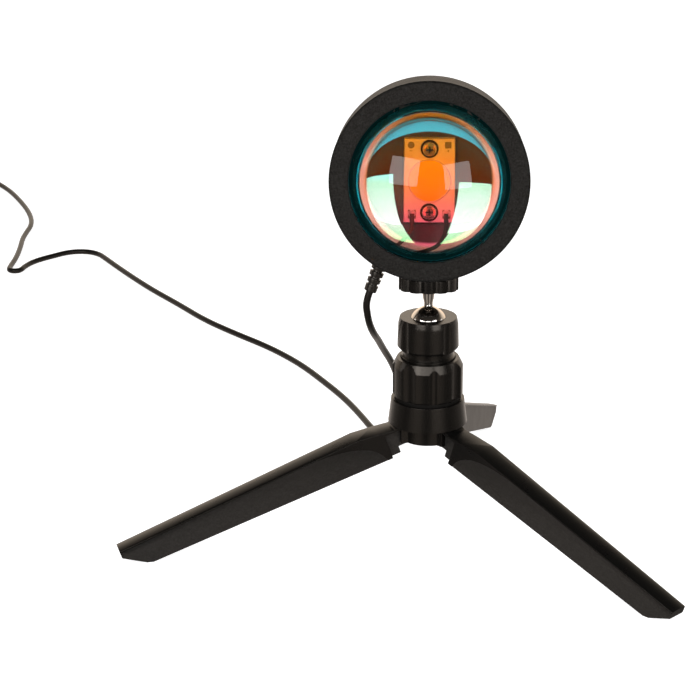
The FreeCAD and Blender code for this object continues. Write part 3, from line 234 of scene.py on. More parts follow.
def eased(node, name, body, material, width=0.0004, segments=3, angle=20.0,
          flat=True):
    """A drawn piece with rounded edges, in place of its drawn node."""
    piece = bpy.data.objects.new(name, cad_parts[node].data.copy())
    bpy.context.collection.objects.link(piece)
    bpy.ops.object.select_all(action="DESELECT")
    piece.select_set(True)
    bpy.context.view_layer.objects.active = piece
    bpy.ops.object.mode_set(mode="EDIT")
    bpy.ops.mesh.select_all(action="SELECT")
    bpy.ops.mesh.remove_doubles(threshold=0.000002)
    bpy.ops.mesh.dissolve_limited(angle_limit=math.radians(0.3))
    bpy.ops.object.mode_set(mode="OBJECT")
    bevel = piece.modifiers.new("ease", "BEVEL")
    bevel.limit_method = "ANGLE"
    bevel.angle_limit = math.radians(angle)
    bevel.width = width
    bevel.segments = segments
    bevel.use_clamp_overlap = True
    bpy.ops.object.modifier_apply(modifier="ease")
    bpy.ops.object.shade_smooth_by_angle(angle=math.radians(35.0))
    if flat:
        level_shading(piece)
    piece.data.materials.clear()
    piece.data.materials.append(material)
    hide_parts(node)
    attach(piece, body)
    return piece


satin_black = moulded("satin_black", (0.0022, 0.0020, 0.0018), 0.24, 0.0006, 0.000010,
                      specular=0.45)
eased("hub", "tripod_hub", "hub", satin_black, 0.0004)

# A rubber pad lies on the hub, and a steel camera screw comes up through both. Steel
# pins hold the legs, and a plastic plug closes the hub's foot.
rubber = moulded("rubber", (0.003, 0.003, 0.003), 0.6, 0.0003, 0.00002, specular=0.15)
steel = moulded("steel", (0.55, 0.54, 0.52), 0.28, 0.0002, 0.000004)
steel.node_tree.nodes["Principled BSDF"].inputs["Metallic"].default_value = 1.0
plain_black = moulded("plain_black", (0.008, 0.008, 0.008), 0.45, 0.0005, 0.00002)


def finished(node, material):
    """Gives a drawn node that stays its real finish."""
    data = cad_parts[node].data
    data.materials.clear()
    data.materials.append(material)


eased("top_pad", "rubber_pad", "hub", rubber, 0.0003)
finished("tripod_screw", steel)
finished("hinge_pins", steel)
finished("hub_cap", plain_black)

# Each leg is a hollow moulding with an arched, smooth top. On either side a flat panel
# with a fine matt texture is sunk a little into it: its edge rises in an arch near the
# hinge and follows the leg's ridge down to the foot.
leg_smooth = moulded("leg_smooth", (0.0022, 0.0021, 0.0020), 0.28, 0.0009, 0.00001,
                     specular=0.28)
leg_matt = moulded("leg_matt", (0.0070, 0.0066, 0.0063), 0.5, 0.0007, 0.00005, specular=0.38,
                   worn=2.4)
pin_distance, pin_height, leg_slope = 0.0097, 0.0442, math.radians(18.9)
first_leg, leg_spacing = math.radians(197.3), math.radians(120.0)
half_width, panel_sink, cutter_depth = 0.0054, 0.0002, 0.004
leg_taper = math.atan(0.0012 / 0.1313)
knuckle_end, knuckle_top = 0.0094, 0.0045
panel_outline = [
    (0.0115, -0.0080), (0.0118, -0.0060), (0.0128, -0.0035), (0.0146, -0.0010),
    (0.0172, 0.0012), (0.0205, 0.0030), (0.0245, 0.0044), (0.0290, 0.0054),
    (0.0340, 0.0061), (0.0400, 0.00655), (0.1400, 0.0031), (0.1400, -0.0080),
]
for index, side in enumerate(("left", "right", "rear")):
    leg = eased("leg_" + side, "tripod_leg_" + side, "leg_" + side, leg_smooth,
                0.00045, angle=30.0, flat=False)
    hinge = (Matrix.Translation((lamp_x, lamp_y, pin_height))
             @ Matrix.Rotation(first_leg + leg_spacing * index, 4, "Z")
             @ Matrix.Translation((pin_distance, 0, 0)) @ Matrix.Rotation(leg_slope, 4, "Y"))
    for flank in (-1.0, 1.0):
        bpy.ops.object.select_all(action="DESELECT")
        bpy.ops.mesh.primitive_plane_add(size=0.001)
        cutter = bpy.context.active_object
        bpy.ops.object.mode_set(mode="EDIT")
        bpy.ops.mesh.select_mode(type="VERT")
        bpy.ops.mesh.merge(type="CENTER")
        bpy.ops.transform.translate(value=(panel_outline[0][0], 0.0, panel_outline[0][1]))
        for before, after in zip(panel_outline, panel_outline[1:]):
            bpy.ops.mesh.extrude_region_move(TRANSFORM_OT_translate={
                "value": (after[0] - before[0], 0.0, after[1] - before[1])})
        bpy.ops.mesh.select_all(action="SELECT")
        bpy.ops.mesh.edge_face_add()
        bpy.ops.mesh.extrude_region_move(TRANSFORM_OT_translate={"value": (0, cutter_depth, 0)})
        bpy.ops.mesh.select_all(action="SELECT")
        bpy.ops.mesh.normals_make_consistent(inside=False)
        bpy.ops.transform.translate(value=(0, half_width - panel_sink, 0))
        bpy.ops.transform.rotate(value=leg_taper, orient_axis="Z", center_override=(0, 0, 0))
        bpy.ops.object.mode_set(mode="OBJECT")
        if flank < 0:
            bpy.ops.object.mode_set(mode="EDIT")
            bpy.ops.mesh.select_all(action="SELECT")
            bpy.ops.transform.resize(value=(1, -1, 1), center_override=(0, 0, 0))
            bpy.ops.mesh.normals_make_consistent(inside=False)
            bpy.ops.object.mode_set(mode="OBJECT")
        cutter.matrix_world = hinge
        cutter.data.materials.append(leg_matt)
        sink = leg.modifiers.new("sink", "BOOLEAN")
        sink.operation = "DIFFERENCE"
        sink.object = cutter
        sink.material_mode = "TRANSFER"
        bpy.ops.object.select_all(action="DESELECT")
        leg.select_set(True)
        bpy.context.view_layer.objects.active = leg
        bpy.ops.object.modifier_apply(modifier="sink")
        bpy.data.objects.remove(cutter)
    to_hinge = hinge.inverted()
    for face in leg.data.polygons:
        place = to_hinge @ face.center
        if place.x < knuckle_end and place.z < knuckle_top and face.material_index == 0:
            face.material_index = len(leg.data.materials) - 1
    bpy.ops.object.shade_smooth_by_angle(angle=math.radians(25.0))

# The ball head screws onto the pad: a fluted knob with a bevelled top, a beaded neck
# and a nylon cup, in which a fluted collar clamps the chromed ball.
eased("ball_head_base", "fluted_base", "pan", satin_black, 0.00025)
eased("clamp_collar", "fluted_collar", "collar", satin_black, 0.00025)
brass = moulded("brass", (0.60, 0.42, 0.16), 0.3, 0.0002, 0.000004)
brass.node_tree.nodes["Principled BSDF"].inputs["Metallic"].default_value = 1.0
nylon = moulded("nylon", (0.70, 0.69, 0.64), 0.45, 0.0004, 0.00001)
finished("base_insert", brass)
finished("ball_seat", nylon)


# The ball, its waisted stem and its thread are turned from one bar and chromed. It
# leans back with the lamp's drum, which stands on its thread above a lock nut.
def turned(name, profile, steps=96):
    """A solid of revolution about Z, from (radius, height) places extruded and spun."""
    bpy.ops.object.select_all(action="DESELECT")
    bpy.ops.mesh.primitive_plane_add(size=0.001)
    piece = bpy.context.active_object
    piece.name = name
    bpy.ops.object.mode_set(mode="EDIT")
    bpy.ops.mesh.select_mode(type="VERT")
    bpy.ops.mesh.merge(type="CENTER")
    start = profile[0]
    bpy.ops.transform.translate(value=(start[0], 0.0, start[1]))
    for before, after in zip(profile, profile[1:]):
        bpy.ops.mesh.extrude_region_move(TRANSFORM_OT_translate={
            "value": (after[0] - before[0], 0.0, after[1] - before[1])})
    bpy.ops.mesh.select_all(action="SELECT")
    bpy.ops.mesh.spin(steps=steps, angle=math.tau, center=(0, 0, 0), axis=(0, 0, 1))
    bpy.ops.mesh.select_all(action="SELECT")
    bpy.ops.mesh.remove_doubles(threshold=0.0000005)
    bpy.ops.mesh.normals_make_consistent(inside=False)
    bpy.ops.object.mode_set(mode="OBJECT")
    bpy.ops.object.shade_smooth_by_angle(angle=math.radians(30.0))
    return piece


def placed(piece, place, material, body, slot, *nodes):
    """Moves a piece made about the origin to its place, gives it its material and body, and
    hides the drawn nodes it stands in for.
    """
    bpy.ops.object.select_all(action="DESELECT")
    piece.select_set(True)
    bpy.context.view_layer.objects.active = piece
    piece.matrix_world = place
    bpy.ops.object.transform_apply(location=True, rotation=True, scale=True)
    if not piece.data.materials:
        piece.data.materials.append(material)
    piece.data.materials[0] = material
    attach(piece, body)
    if nodes:
        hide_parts(*nodes)
    return piece


head_lean = math.radians(8.2)
ball_middle = Vector((lamp_x, lamp_y, 0.09106))
on_stud = Matrix.Translation(ball_middle) @ Matrix.Rotation(-head_lean, 4, "X")
ball_radius = 0.0082
thread_end = 0.0275
chrome = moulded("chrome", (0.66, 0.62, 0.58), 0.07, 0.0008, 0.000001, worn=1.02)
chrome.node_tree.nodes["Principled BSDF"].inputs["Metallic"].default_value = 1.0
ball_profile = [(0.0, -ball_radius)]
for k in range(1, 37):
    latitude = math.radians(-90.0 + 165.0 * k / 36)
    ball_profile.append((ball_radius * math.cos(latitude), ball_radius * math.sin(latitude)))
stud = turned("chromed_stud", ball_profile + [
    (0.00205, 0.0081), (0.00185, 0.0083), (0.00180, 0.0088), (0.00184, 0.0094),
    (0.00181, 0.0097), (0.00198, 0.0101), (0.00196, 0.0104), (0.00228, 0.0114),
    (0.00252, 0.0135), (0.00260, 0.0146), (0.00315, 0.0150), (0.00315, thread_end - 0.0006),
    (0.00255, thread_end), (0.0, thread_end)])
placed(stud, on_stud, chrome, "stud", "chrome", "ball_stud")

# The lock nut is a black moulding with twelve rounded lobes for the fingers. It runs on
# the stud's thread and is turned up against the drum.
nut_low, nut_height, nut_radius, nut_lobes = 0.0150, 0.00535, 0.01255, 12
points_a_lobe = 12
bpy.ops.object.select_all(action="DESELECT")
bpy.ops.mesh.primitive_circle_add(vertices=nut_lobes * points_a_lobe, radius=nut_radius,
                                  fill_type="NGON", location=(0, 0, 0))
nut = bpy.context.active_object
nut.name = "lobed_nut"
for offset, sink in ((3, 0.985), (4, 0.955), (5, 0.915), (6, 0.900)):
    for corner in nut.data.vertices:
        step = round(math.atan2(corner.co.y, corner.co.x) / math.tau * nut_lobes * points_a_lobe)
        across = min(step % points_a_lobe, -step % points_a_lobe)
        corner.select = across == offset
    bpy.ops.object.mode_set(mode="EDIT")
    bpy.ops.mesh.select_mode(type="VERT")
    bpy.ops.transform.resize(value=(sink, sink, 1.0), center_override=(0, 0, 0))
    bpy.ops.mesh.select_all(action="DESELECT")
    bpy.ops.object.mode_set(mode="OBJECT")
bpy.ops.object.mode_set(mode="EDIT")
bpy.ops.mesh.select_all(action="SELECT")
bpy.ops.mesh.extrude_region_move(TRANSFORM_OT_translate={"value": (0, 0, nut_height)})
bpy.ops.mesh.select_all(action="SELECT")
bpy.ops.mesh.normals_make_consistent(inside=False)
bpy.ops.object.mode_set(mode="OBJECT")
rim = nut.modifiers.new("rim", "BEVEL")
rim.limit_method = "ANGLE"
rim.angle_limit = math.radians(60.0)
rim.width = 0.0004
rim.segments = 3
bpy.ops.object.modifier_apply(modifier="rim")
bpy.ops.object.shade_smooth_by_angle(angle=math.radians(35.0))
level_shading(nut)
placed(nut, on_stud @ Matrix.Translation((0, 0, nut_low)), satin_black, "nut", "nut_plastic",
       "thumb_nut")

# The drum is a black aluminium-look moulding with a fine sand texture. A flat lip
# frames the lens at the front, and three screws hold the back cover to its posts.
sand_black = moulded("sand_black", (0.0024, 0.0023, 0.0022), 0.5, 0.0007, 0.00020,
                     specular=0.10, worn=5.5)
eased("head_shell", "drum_housing", "head", sand_black, 0.0003)
eased("rear_cover", "drum_back", "head", sand_black, 0.0003)
finished("mount_insert", brass)


def cross_head(name, radius, height, material, steps=40):
    """The head of a small pan-head screw about Z, with a cross recess cut into it, whose faces
    are painted plain black as painted shade.
    """
    head = turned(name, [(0.0, 0.0), (0.97 * radius, 0.0), (radius, 0.15 * height),
                         (0.96 * radius, 0.5 * height), (0.82 * radius, 0.8 * height),
                         (0.55 * radius, 0.96 * height), (0.0, height)], steps)
    head.data.materials.append(material)
    for turn in (0.0, math.pi / 2):
        bpy.ops.object.select_all(action="DESELECT")
        bpy.ops.mesh.primitive_cube_add(size=1.0)
        blade = bpy.context.active_object
        bpy.ops.object.mode_set(mode="EDIT")
        bpy.ops.mesh.select_all(action="SELECT")
        bpy.ops.transform.resize(value=(1.35 * radius, 0.34 * radius, 1.2 * height))
        bpy.ops.transform.rotate(value=turn, orient_axis="Z", center_override=(0, 0, 0))
        bpy.ops.transform.translate(value=(0.0, 0.0, height))
        bpy.ops.mesh.select_all(action="DESELECT")
        bpy.ops.object.mode_set(mode="OBJECT")
        for corner in blade.data.vertices:
            corner.select = corner.co.z < height
        bpy.ops.object.mode_set(mode="EDIT")
        bpy.ops.transform.resize(value=(0.45, 0.45, 1.0), center_override=(0, 0, 0))
        bpy.ops.object.mode_set(mode="OBJECT")
        # The recess faces take the cutter's plain black: painted shade in the cross.
        blade.data.materials.append(plain_black)
        slot = head.modifiers.new("slot", "BOOLEAN")
        slot.operation = "DIFFERENCE"
        slot.material_mode = "TRANSFER"
        slot.object = blade
        bpy.ops.object.select_all(action="DESELECT")
        head.select_set(True)
        bpy.context.view_layer.objects.active = head
        bpy.ops.object.modifier_apply(modifier="slot")
        bpy.data.objects.remove(blade)
    bpy.ops.object.shade_smooth_by_angle(angle=math.radians(30.0))
    return head


drum_reach = 0.0613
drum_depth = 0.030
in_drum = (on_stud @ Matrix.Translation((0, 0, drum_reach))
           @ Matrix.Rotation(math.pi / 2, 4, "X"))
black_steel = moulded("black_steel", (0.09, 0.088, 0.085), 0.30, 0.0003, 0.000006)
black_steel.node_tree.nodes["Principled BSDF"].inputs["Metallic"].default_value = 1.0
finished("cover_screws", black_steel)
cover_screw_circle = 0.031
for k in range(3):
    angle = math.radians(90.0 + 120.0 * k)
    screw = cross_head("cover_screw_%d" % k, 0.0028, 0.0014, black_steel)
    place = (in_drum
             @ Matrix.Translation((cover_screw_circle * math.cos(angle),
                                   cover_screw_circle * math.sin(angle), -drum_depth / 2))
             @ Matrix.Rotation(math.pi, 4, "X"))
    placed(screw, place, black_steel, "head", "black_screw", "cover_screws")

# Behind the lens a dark plate closes the drum. On it stands the light board: a white
# printed board with a round yellow light source, two screws, four pads and two wires.
board_drop = 0.0022
plate_paint_and_lit_rim = moulded("plate_paint_and_lit_rim", (0.065, 0.060, 0.058), 0.5, 0.0006, 0.00003, mottle=0.3)
board_white = moulded("board_white", (0.82, 0.80, 0.76), 0.35, 0.0004, 0.000006, worn=1.03)
phosphor = moulded("phosphor", (0.95, 0.72, 0.02), 0.3, 0.0003, 0.00001, worn=1.05)
silicone = moulded("silicone", (0.75, 0.72, 0.62), 0.25, 0.0005, 0.00001)
solder = moulded("solder", (0.72, 0.72, 0.70), 0.30, 0.0005, 0.00004)
solder.node_tree.nodes["Principled BSDF"].inputs["Metallic"].default_value = 0.7
screw_chrome = moulded("screw_chrome", (0.75, 0.73, 0.69), 0.22, 0.0008, 0.000003, worn=1.02)
screw_chrome.node_tree.nodes["Principled BSDF"].inputs["Metallic"].default_value = 0.88
pad_metal = moulded("pad_metal", (0.20, 0.19, 0.12), 0.35, 0.0004, 0.00001)
wire_red = moulded("wire_red", (0.06, 0.007, 0.006), 0.4, 0.0006, 0.00001)
wire_black = moulded("wire_black", (0.012, 0.012, 0.012), 0.4, 0.0006, 0.00001)
# From 16.6 mm out from the middle of the board (fully from 17.2 mm) the plate's dark paint turns
# pale white. This is painted light, standing for the lamps' light that falls on the plate's rim
# through the lens.
nodes, links = plate_paint_and_lit_rim.node_tree.nodes, plate_paint_and_lit_rim.node_tree.links
place = nodes.new("ShaderNodeTexCoord")
radius = nodes.new("ShaderNodeVectorMath")
radius.operation = "DISTANCE"
radius.inputs[1].default_value = in_drum @ Vector((0, -board_drop, -0.010))
lit_rim = nodes.new("ShaderNodeMapRange")
lit_rim_from, lit_rim_to = 0.0166, 0.0172
lit_rim.inputs["From Min"].default_value = lit_rim_from
lit_rim.inputs["From Max"].default_value = lit_rim_to
finish = nodes.new("ShaderNodeMix")
finish.data_type = "RGBA"
finish.inputs[7].default_value = (0.80, 0.78, 0.76, 1.0)
links.new(nodes["Color Ramp"].outputs["Color"], finish.inputs[6])
links.new(place.outputs["Object"], radius.inputs[0])
links.new(radius.outputs["Value"], lit_rim.inputs["Value"])
links.new(lit_rim.outputs["Result"], finish.inputs[0])
links.new(finish.outputs[2], nodes["Principled BSDF"].inputs["Base Color"])
eased("heat_plate", "back_plate", "head", plate_paint_and_lit_rim, 0.0003)
eased("led_board", "light_board", "head", board_white, 0.0001, 2)
eased("lens_ring", "lens_retainer", "head", plain_black, 0.0003)
finished("wire_positive", wire_red)
finished("wire_negative", wire_black)
board_front = -drum_depth / 2 + 0.0024 + 0.0001 + 0.0025 + 0.0016
on_board = in_drum @ Matrix.Translation((0.0, -board_drop, board_front))
source_radius, screw_spacing = 0.0056, 0.0087
source = turned("light_source", [
    (0.0, 0.0), (source_radius, 0.0), (source_radius, 0.00050), (0.0053, 0.00062),
    (0.0, 0.00066)], 72)
placed(source, on_board, phosphor, "head", "phosphor", "led_emitter")
dam = turned("source_dam", [
    (source_radius, 0.0), (0.0059, 0.0), (0.00588, 0.0005), (0.00575, 0.0007),
    (0.00562, 0.0005), (source_radius, 0.0)], 72)
placed(dam, on_board, silicone, "head", "phosphor", "led_emitter")
for k, side in enumerate((-1, 1)):
    screw = cross_head("board_screw_%d" % k, 0.00205, 0.00125, screw_chrome)
    at_screw = on_board @ Matrix.Translation((0.0, side * screw_spacing, 0.0))
    placed(screw, at_screw, screw_chrome, "head", "chrome", "led_screws")
    # A black washer lies under each screw. Its black also stands for the screw's shadow on the
    # board, so it is partly painted shadow.
    washer_and_shadow = turned("board_washer_%d" % k, [
        (0.0020, 0.0), (0.0025, 0.0), (0.0025, 0.00022), (0.0020, 0.00022), (0.0020, 0.0)], 40)
    placed(washer_and_shadow, at_screw, plain_black, "head", "chrome")


def board_plate(name, width, height, x, y, material, slot, corner=0.0):
    """A thin flat shape that lies on the board's face."""
    bpy.ops.object.select_all(action="DESELECT")
    bpy.ops.mesh.primitive_cube_add(size=1.0)
    piece = bpy.context.active_object
    piece.name = name
    bpy.ops.object.mode_set(mode="EDIT")
    bpy.ops.mesh.select_all(action="SELECT")
    bpy.ops.transform.resize(value=(width, height, 0.00006))
    bpy.ops.object.mode_set(mode="OBJECT")
    round_off = piece.modifiers.new("round", "BEVEL")
    round_off.width = max(corner, 0.00002)
    round_off.segments = 3
    bpy.ops.object.modifier_apply(modifier="round")
    return placed(piece, on_board @ Matrix.Translation((x, y, 0.00002)), material, "head", slot)


round_pad = turned("round_pad", [
    (0.0, 0.0), (0.00095, 0.0), (0.00095, 0.00005), (0.0, 0.00005)], 32)
placed(round_pad, on_board @ Matrix.Translation((-0.0051, 0.0097, 0.0)), pad_metal, "head",
       "board_coating")
board_plate("square_pad", 0.0018, 0.0018, 0.0051, 0.0097, pad_metal, "board_coating")
board_plate("minus_mark", 0.0007, 0.00015, -0.0051, 0.0081, wire_black, "board_coating")
board_plate("plus_mark_across", 0.0007, 0.00015, 0.0051, 0.0081, wire_black, "board_coating")
board_plate("plus_mark_up", 0.00015, 0.0007, 0.0051, 0.0081, wire_black, "board_coating")
for k, side in enumerate((-1, 1)):
    board_plate("lower_pad_%d" % k, 0.0022, 0.0024, side * 0.0047, -0.0092, pad_metal,
                "board_coating")
    joint = turned("solder_joint_%d" % k, [
        (0.0, 0.0), (0.00105, 0.0), (0.00095, 0.0003), (0.0007, 0.0007), (0.0004, 0.00095),
        (0.0, 0.00105)], 28)
    placed(joint, on_board @ Matrix.Translation((side * 0.0047, -0.0090, 0.0)), solder,
           "head", "board_coating")

# The lens is one thick glass with a clear dome and a flat rim that the ring holds. Its
# flat back has a thin coating, which lets orange and pink through and throws mint and
# blue back.
flange_radius, dome_foot_radius, dome_radius = 0.0343, 0.0286, 0.044
lens_back = drum_depth / 2 - 0.0024 - 0.0020
flange_front = lens_back + 0.0020
dome_top = lens_back + 0.0170
lens_profile = [(0.0, lens_back), (0.012, lens_back), (0.024, lens_back),
                (flange_radius - 0.0002, lens_back), (flange_radius, lens_back + 0.0002),
                (flange_radius, flange_front - 0.0002), (flange_radius - 0.0002, flange_front),
                (0.0297, flange_front), (0.0292, flange_front + 0.0004),
                (0.0289, flange_front + 0.0012), (0.0288, flange_front + 0.0030)]
widest = math.asin(dome_foot_radius / dome_radius)
for k in range(0, 41):
    slope = widest * (1.0 - k / 40)
    lens_profile.append((dome_radius * math.sin(slope),
                         dome_top - dome_radius * (1.0 - math.cos(slope))))


def height_tints(nodes, links, low, high, *tints):
    """A colour that changes with height, from low up to high."""
    place = nodes.new("ShaderNodeTexCoord")
    height = nodes.new("ShaderNodeSeparateXYZ")
    share = nodes.new("ShaderNodeMapRange")
    share.inputs["From Min"].default_value = low
    share.inputs["From Max"].default_value = high
    ramp = colour_steps(nodes, *((k / (len(tints) - 1), tint) for k, tint in enumerate(tints)))
    links.new(place.outputs["Object"], height.inputs["Vector"])
    links.new(height.outputs["Z"], share.inputs["Value"])
    links.new(share.outputs["Result"], ramp.inputs["Fac"])
    return ramp.outputs["Color"]


dome_glass = bpy.data.materials.new("dome_glass")
dome_glass.use_nodes = True
shader = dome_glass.node_tree.nodes["Principled BSDF"]
shader.inputs["Transmission Weight"].default_value = 1.0
shader.inputs["Roughness"].default_value = 0.0
shader.inputs["IOR"].default_value = 1.5
rim_glass = dome_glass.copy()
rim_glass.name = "rim_glass"
rim_glass.node_tree.nodes["Principled BSDF"].inputs["Specular Tint"].default_value = (
    0.05, 0.60, 0.62, 1.0)
coated_back = bpy.data.materials.new("coated_back")
coated_back.use_nodes = True
nodes, links = coated_back.node_tree.nodes, coated_back.node_tree.links
nodes.remove(nodes["Principled BSDF"])
through = nodes.new("ShaderNodeBsdfRefraction")
through.inputs["Roughness"].default_value = 0.0
through.inputs["IOR"].default_value = 1.5
mirror = nodes.new("ShaderNodeBsdfAnisotropic")
mirror.inputs["Roughness"].default_value = 0.0
both = nodes.new("ShaderNodeAddShader")
place = nodes.new("ShaderNodeTexCoord")
radius = nodes.new("ShaderNodeVectorMath")
radius.operation = "DISTANCE"
radius.inputs[1].default_value = in_drum @ Vector((0, 0, lens_back))
links.new(place.outputs["Object"], radius.inputs[0])
rim = nodes.new("ShaderNodeMapRange")
band = nodes.new("ShaderNodeMapRange")
for ring, inner, outer in ((rim, 0.0262, 0.0268), (band, 0.0232, 0.0250)):
    ring.inputs["From Min"].default_value = inner
    ring.inputs["From Max"].default_value = outer
    links.new(radius.outputs["Value"], ring.inputs["Value"])
# From 26.2 mm out to the flange's edge (fully from 26.8 mm) the back lets almost nothing
# through, giving a dark teal band. This is painted shade of the black ring behind it. There the
# coating mirrors teal.
for layer, edge, tints in (
        (through, (0.01, 0.035, 0.035),
         ((0.72, 0.13, 0.25), (0.80, 0.13, 0.19), (0.92, 0.24, 0.05), (0.78, 0.32, 0.02))),
        (mirror, (0.02, 0.40, 0.46),
         ((0.02, 0.42, 0.06), (0.32, 0.37, 0.34), (0.17, 0.33, 0.24), (0.02, 0.42, 0.52)))):
    shade = nodes.new("ShaderNodeMix")
    shade.data_type = "RGBA"
    shade.inputs[7].default_value = (*edge, 1.0)
    links.new(rim.outputs["Result"], shade.inputs[0])
    pale = nodes.new("ShaderNodeMix")
    pale.data_type = "RGBA"
    links.new(height_tints(nodes, links, 0.124, 0.178, (0.22, 0.09, 0.07), (0.95, 0.55, 0.46),
                           (0.95, 0.52, 0.42), (0.40, 0.16, 0.015)), pale.inputs[7])
    pale.inputs[0].default_value = 0.0
    links.new(height_tints(nodes, links, 0.126, 0.166, *tints), pale.inputs[6])
    if layer == through:
        links.new(band.outputs["Result"], pale.inputs[0])
    links.new(pale.outputs[2], shade.inputs[6])
    links.new(shade.outputs[2], layer.inputs["Color"])
links.new(through.outputs["BSDF"], both.inputs[0])
links.new(mirror.outputs["BSDF"], both.inputs[1])
links.new(both.outputs["Shader"], nodes["Material Output"].inputs["Surface"])
lens = turned("coated_lens", lens_profile, 160)
placed(lens, in_drum, dome_glass, "head", "lens_glass", "lens")
lens.data.materials.append(coated_back)
lens.data.materials.append(rim_glass)
forward = in_drum.to_3x3() @ Vector((0, 0, 1))
to_drum = in_drum.inverted()
for face in lens.data.polygons:
    place = to_drum @ face.center
    if face.normal.dot(forward) < -0.99:
        face.material_index = 1
    elif math.hypot(place.x, place.y) > dome_foot_radius:
        face.material_index = 2
lens.visible_shadow = False

# A ribbed rubber sleeve is moulded on the lead where it leaves the drum, so that the
# thin cable can't be kinked there.
relief_rubber = moulded("relief_rubber", (0.0045, 0.0041, 0.0037), 0.30, 0.0004, 0.00001,
                        specular=0.55)
eased("strain_relief", "relief_sleeve", "head", relief_rubber, 0.00015)

# The switch on the lead is a two-part black moulding with a pale push button, and the
# lead ends in a USB plug: a soft grip over a folded steel shell.
switch_plastic = moulded("switch_plastic", (0.012, 0.012, 0.012), 0.4, 0.0005, 0.00003)
button_plastic = moulded("button_plastic", (0.45, 0.45, 0.43), 0.35, 0.0006, 0.00001)
eased("switch_base", "switch_bottom", "hub", switch_plastic, 0.0006)
eased("switch_cover", "switch_top", "hub", switch_plastic, 0.0008)
eased("switch_button", "push_button", "button", button_plastic, 0.0006)
eased("plug_body", "plug_grip", "hub", switch_plastic, 0.0003)
eased("plug_shell", "plug_metal", "hub", steel, 0.00012)
finished("switch_contact", nylon)
finished("plug_tongue", nylon)
finished("plug_contacts", brass)

# The studio is dim and warm. To the camera its walls are white, but metal and glass
# mirror a bright wall behind the lamp and a dark one in front of it.
world = bpy.data.worlds.new("studio")
bpy.context.scene.world = world
world.use_nodes = True
nodes, links = world.node_tree.nodes, world.node_tree.links
rays = nodes.new("ShaderNodeLightPath")
direction = nodes.new("ShaderNodeTexCoord")
parts = nodes.new("ShaderNodeSeparateXYZ")
dark_room = (0.03, 0.027, 0.024)
room = colour_steps(nodes, (0.25, dark_room), (0.55, (0.16, 0.135, 0.11)),
                    (1.0, (1.6, 1.37, 1.12)))
turn = nodes.new("ShaderNodeMapRange")
turn.inputs["From Min"].default_value = -1.0
overhead = nodes.new("ShaderNodeMapRange")
overhead.inputs["From Min"].default_value = 0.35
overhead.inputs["From Max"].default_value = 0.65
dimmed = nodes.new("ShaderNodeMix")
dimmed.data_type = "RGBA"
dimmed.inputs[7].default_value = (*dark_room, 1)
mirrored = nodes.new("ShaderNodeMath")
mirrored.operation = "MAXIMUM"
reflected = nodes.new("ShaderNodeMix")
reflected.data_type = "RGBA"
reflected.inputs[6].default_value = (0.30, 0.295, 0.29, 1)
shown = nodes.new("ShaderNodeMix")
shown.data_type = "RGBA"
shown.inputs[7].default_value = (1, 1, 1, 1)
links.new(direction.outputs["Generated"], parts.inputs["Vector"])
links.new(parts.outputs["Y"], turn.inputs["Value"])
links.new(parts.outputs["Z"], overhead.inputs["Value"])
links.new(turn.outputs["Result"], room.inputs["Fac"])
links.new(overhead.outputs["Result"], dimmed.inputs[0])
links.new(room.outputs["Color"], dimmed.inputs[6])
links.new(rays.outputs["Is Glossy Ray"], mirrored.inputs[0])
links.new(rays.outputs["Is Transmission Ray"], mirrored.inputs[1])
links.new(mirrored.outputs[0], reflected.inputs[0])
links.new(dimmed.outputs[2], reflected.inputs[7])
links.new(rays.outputs["Is Camera Ray"], shown.inputs[0])
links.new(reflected.outputs[2], shown.inputs[6])
links.new(shown.outputs[2], nodes["Background"].inputs["Color"])

# The lamp stands on a plain white table. What metal mirrors of it is bright at the
# sides and behind, and what the lens shows of it is a bright band in front.
bpy.ops.object.select_all(action="DESELECT")
bpy.ops.mesh.primitive_plane_add(size=12.0, location=(0, 0, -0.0002))
floor = bpy.context.active_object
floor.name = "floor"
floor_paint = bpy.data.materials.new("floor_paint")
floor_paint.use_nodes = True
nodes, links = floor_paint.node_tree.nodes, floor_paint.node_tree.links
shader = nodes["Principled BSDF"]
shader.inputs["Base Color"].default_value = (0.65, 0.65, 0.65, 1)
shader.inputs["Roughness"].default_value = 0.9
shader.inputs["Emission Color"].default_value = (1, 1, 1, 1)
shader.inputs["Emission Strength"].default_value = 0.85
rays = nodes.new("ShaderNodeLightPath")
place = nodes.new("ShaderNodeTexCoord")
parts = nodes.new("ShaderNodeSeparateXYZ")
near = colour_steps(nodes, *((share, (level, level, level)) for share, level in (
    (0.0, 0.01), (0.13, 0.01), (0.15, 1.5), (0.78, 1.5), (0.84, 0.1), (1.0, 0.3))))
ahead = nodes.new("ShaderNodeMapRange")
ahead.inputs["From Min"].default_value = -0.40
ahead.inputs["From Max"].default_value = -0.04
turned_round = nodes.new("ShaderNodeMath")
turned_round.operation = "MULTIPLY"
turned_round.inputs[1].default_value = -1.0
azimuth = nodes.new("ShaderNodeMath")
azimuth.operation = "ARCTAN2"
spread = nodes.new("ShaderNodeMapRange")
spread.inputs["From Min"].default_value = -math.pi
spread.inputs["From Max"].default_value = math.pi
behind = (0.90, 0.80, 0.72)
table = colour_steps(nodes, (0.0, behind), *(
    (share, (level, 0.89 * level, 0.80 * level)) for share, level in (
        (0.10, 0.85), (0.20, 0.30), (0.34, 0.05), (0.40, 0.40), (0.45, 0.40), (0.48, 0.05),
        (0.52, 0.05), (0.55, 0.40), (0.60, 0.40), (0.66, 0.05), (0.80, 0.30), (0.90, 0.85))),
    (1.0, behind))
level = nodes.new("ShaderNodeMix")
level.data_type = "RGBA"
mirrored = nodes.new("ShaderNodeMath")
mirrored.operation = "MAXIMUM"
glow = nodes.new("ShaderNodeEmission")
either = nodes.new("ShaderNodeMixShader")
links.new(place.outputs["Object"], parts.inputs["Vector"])
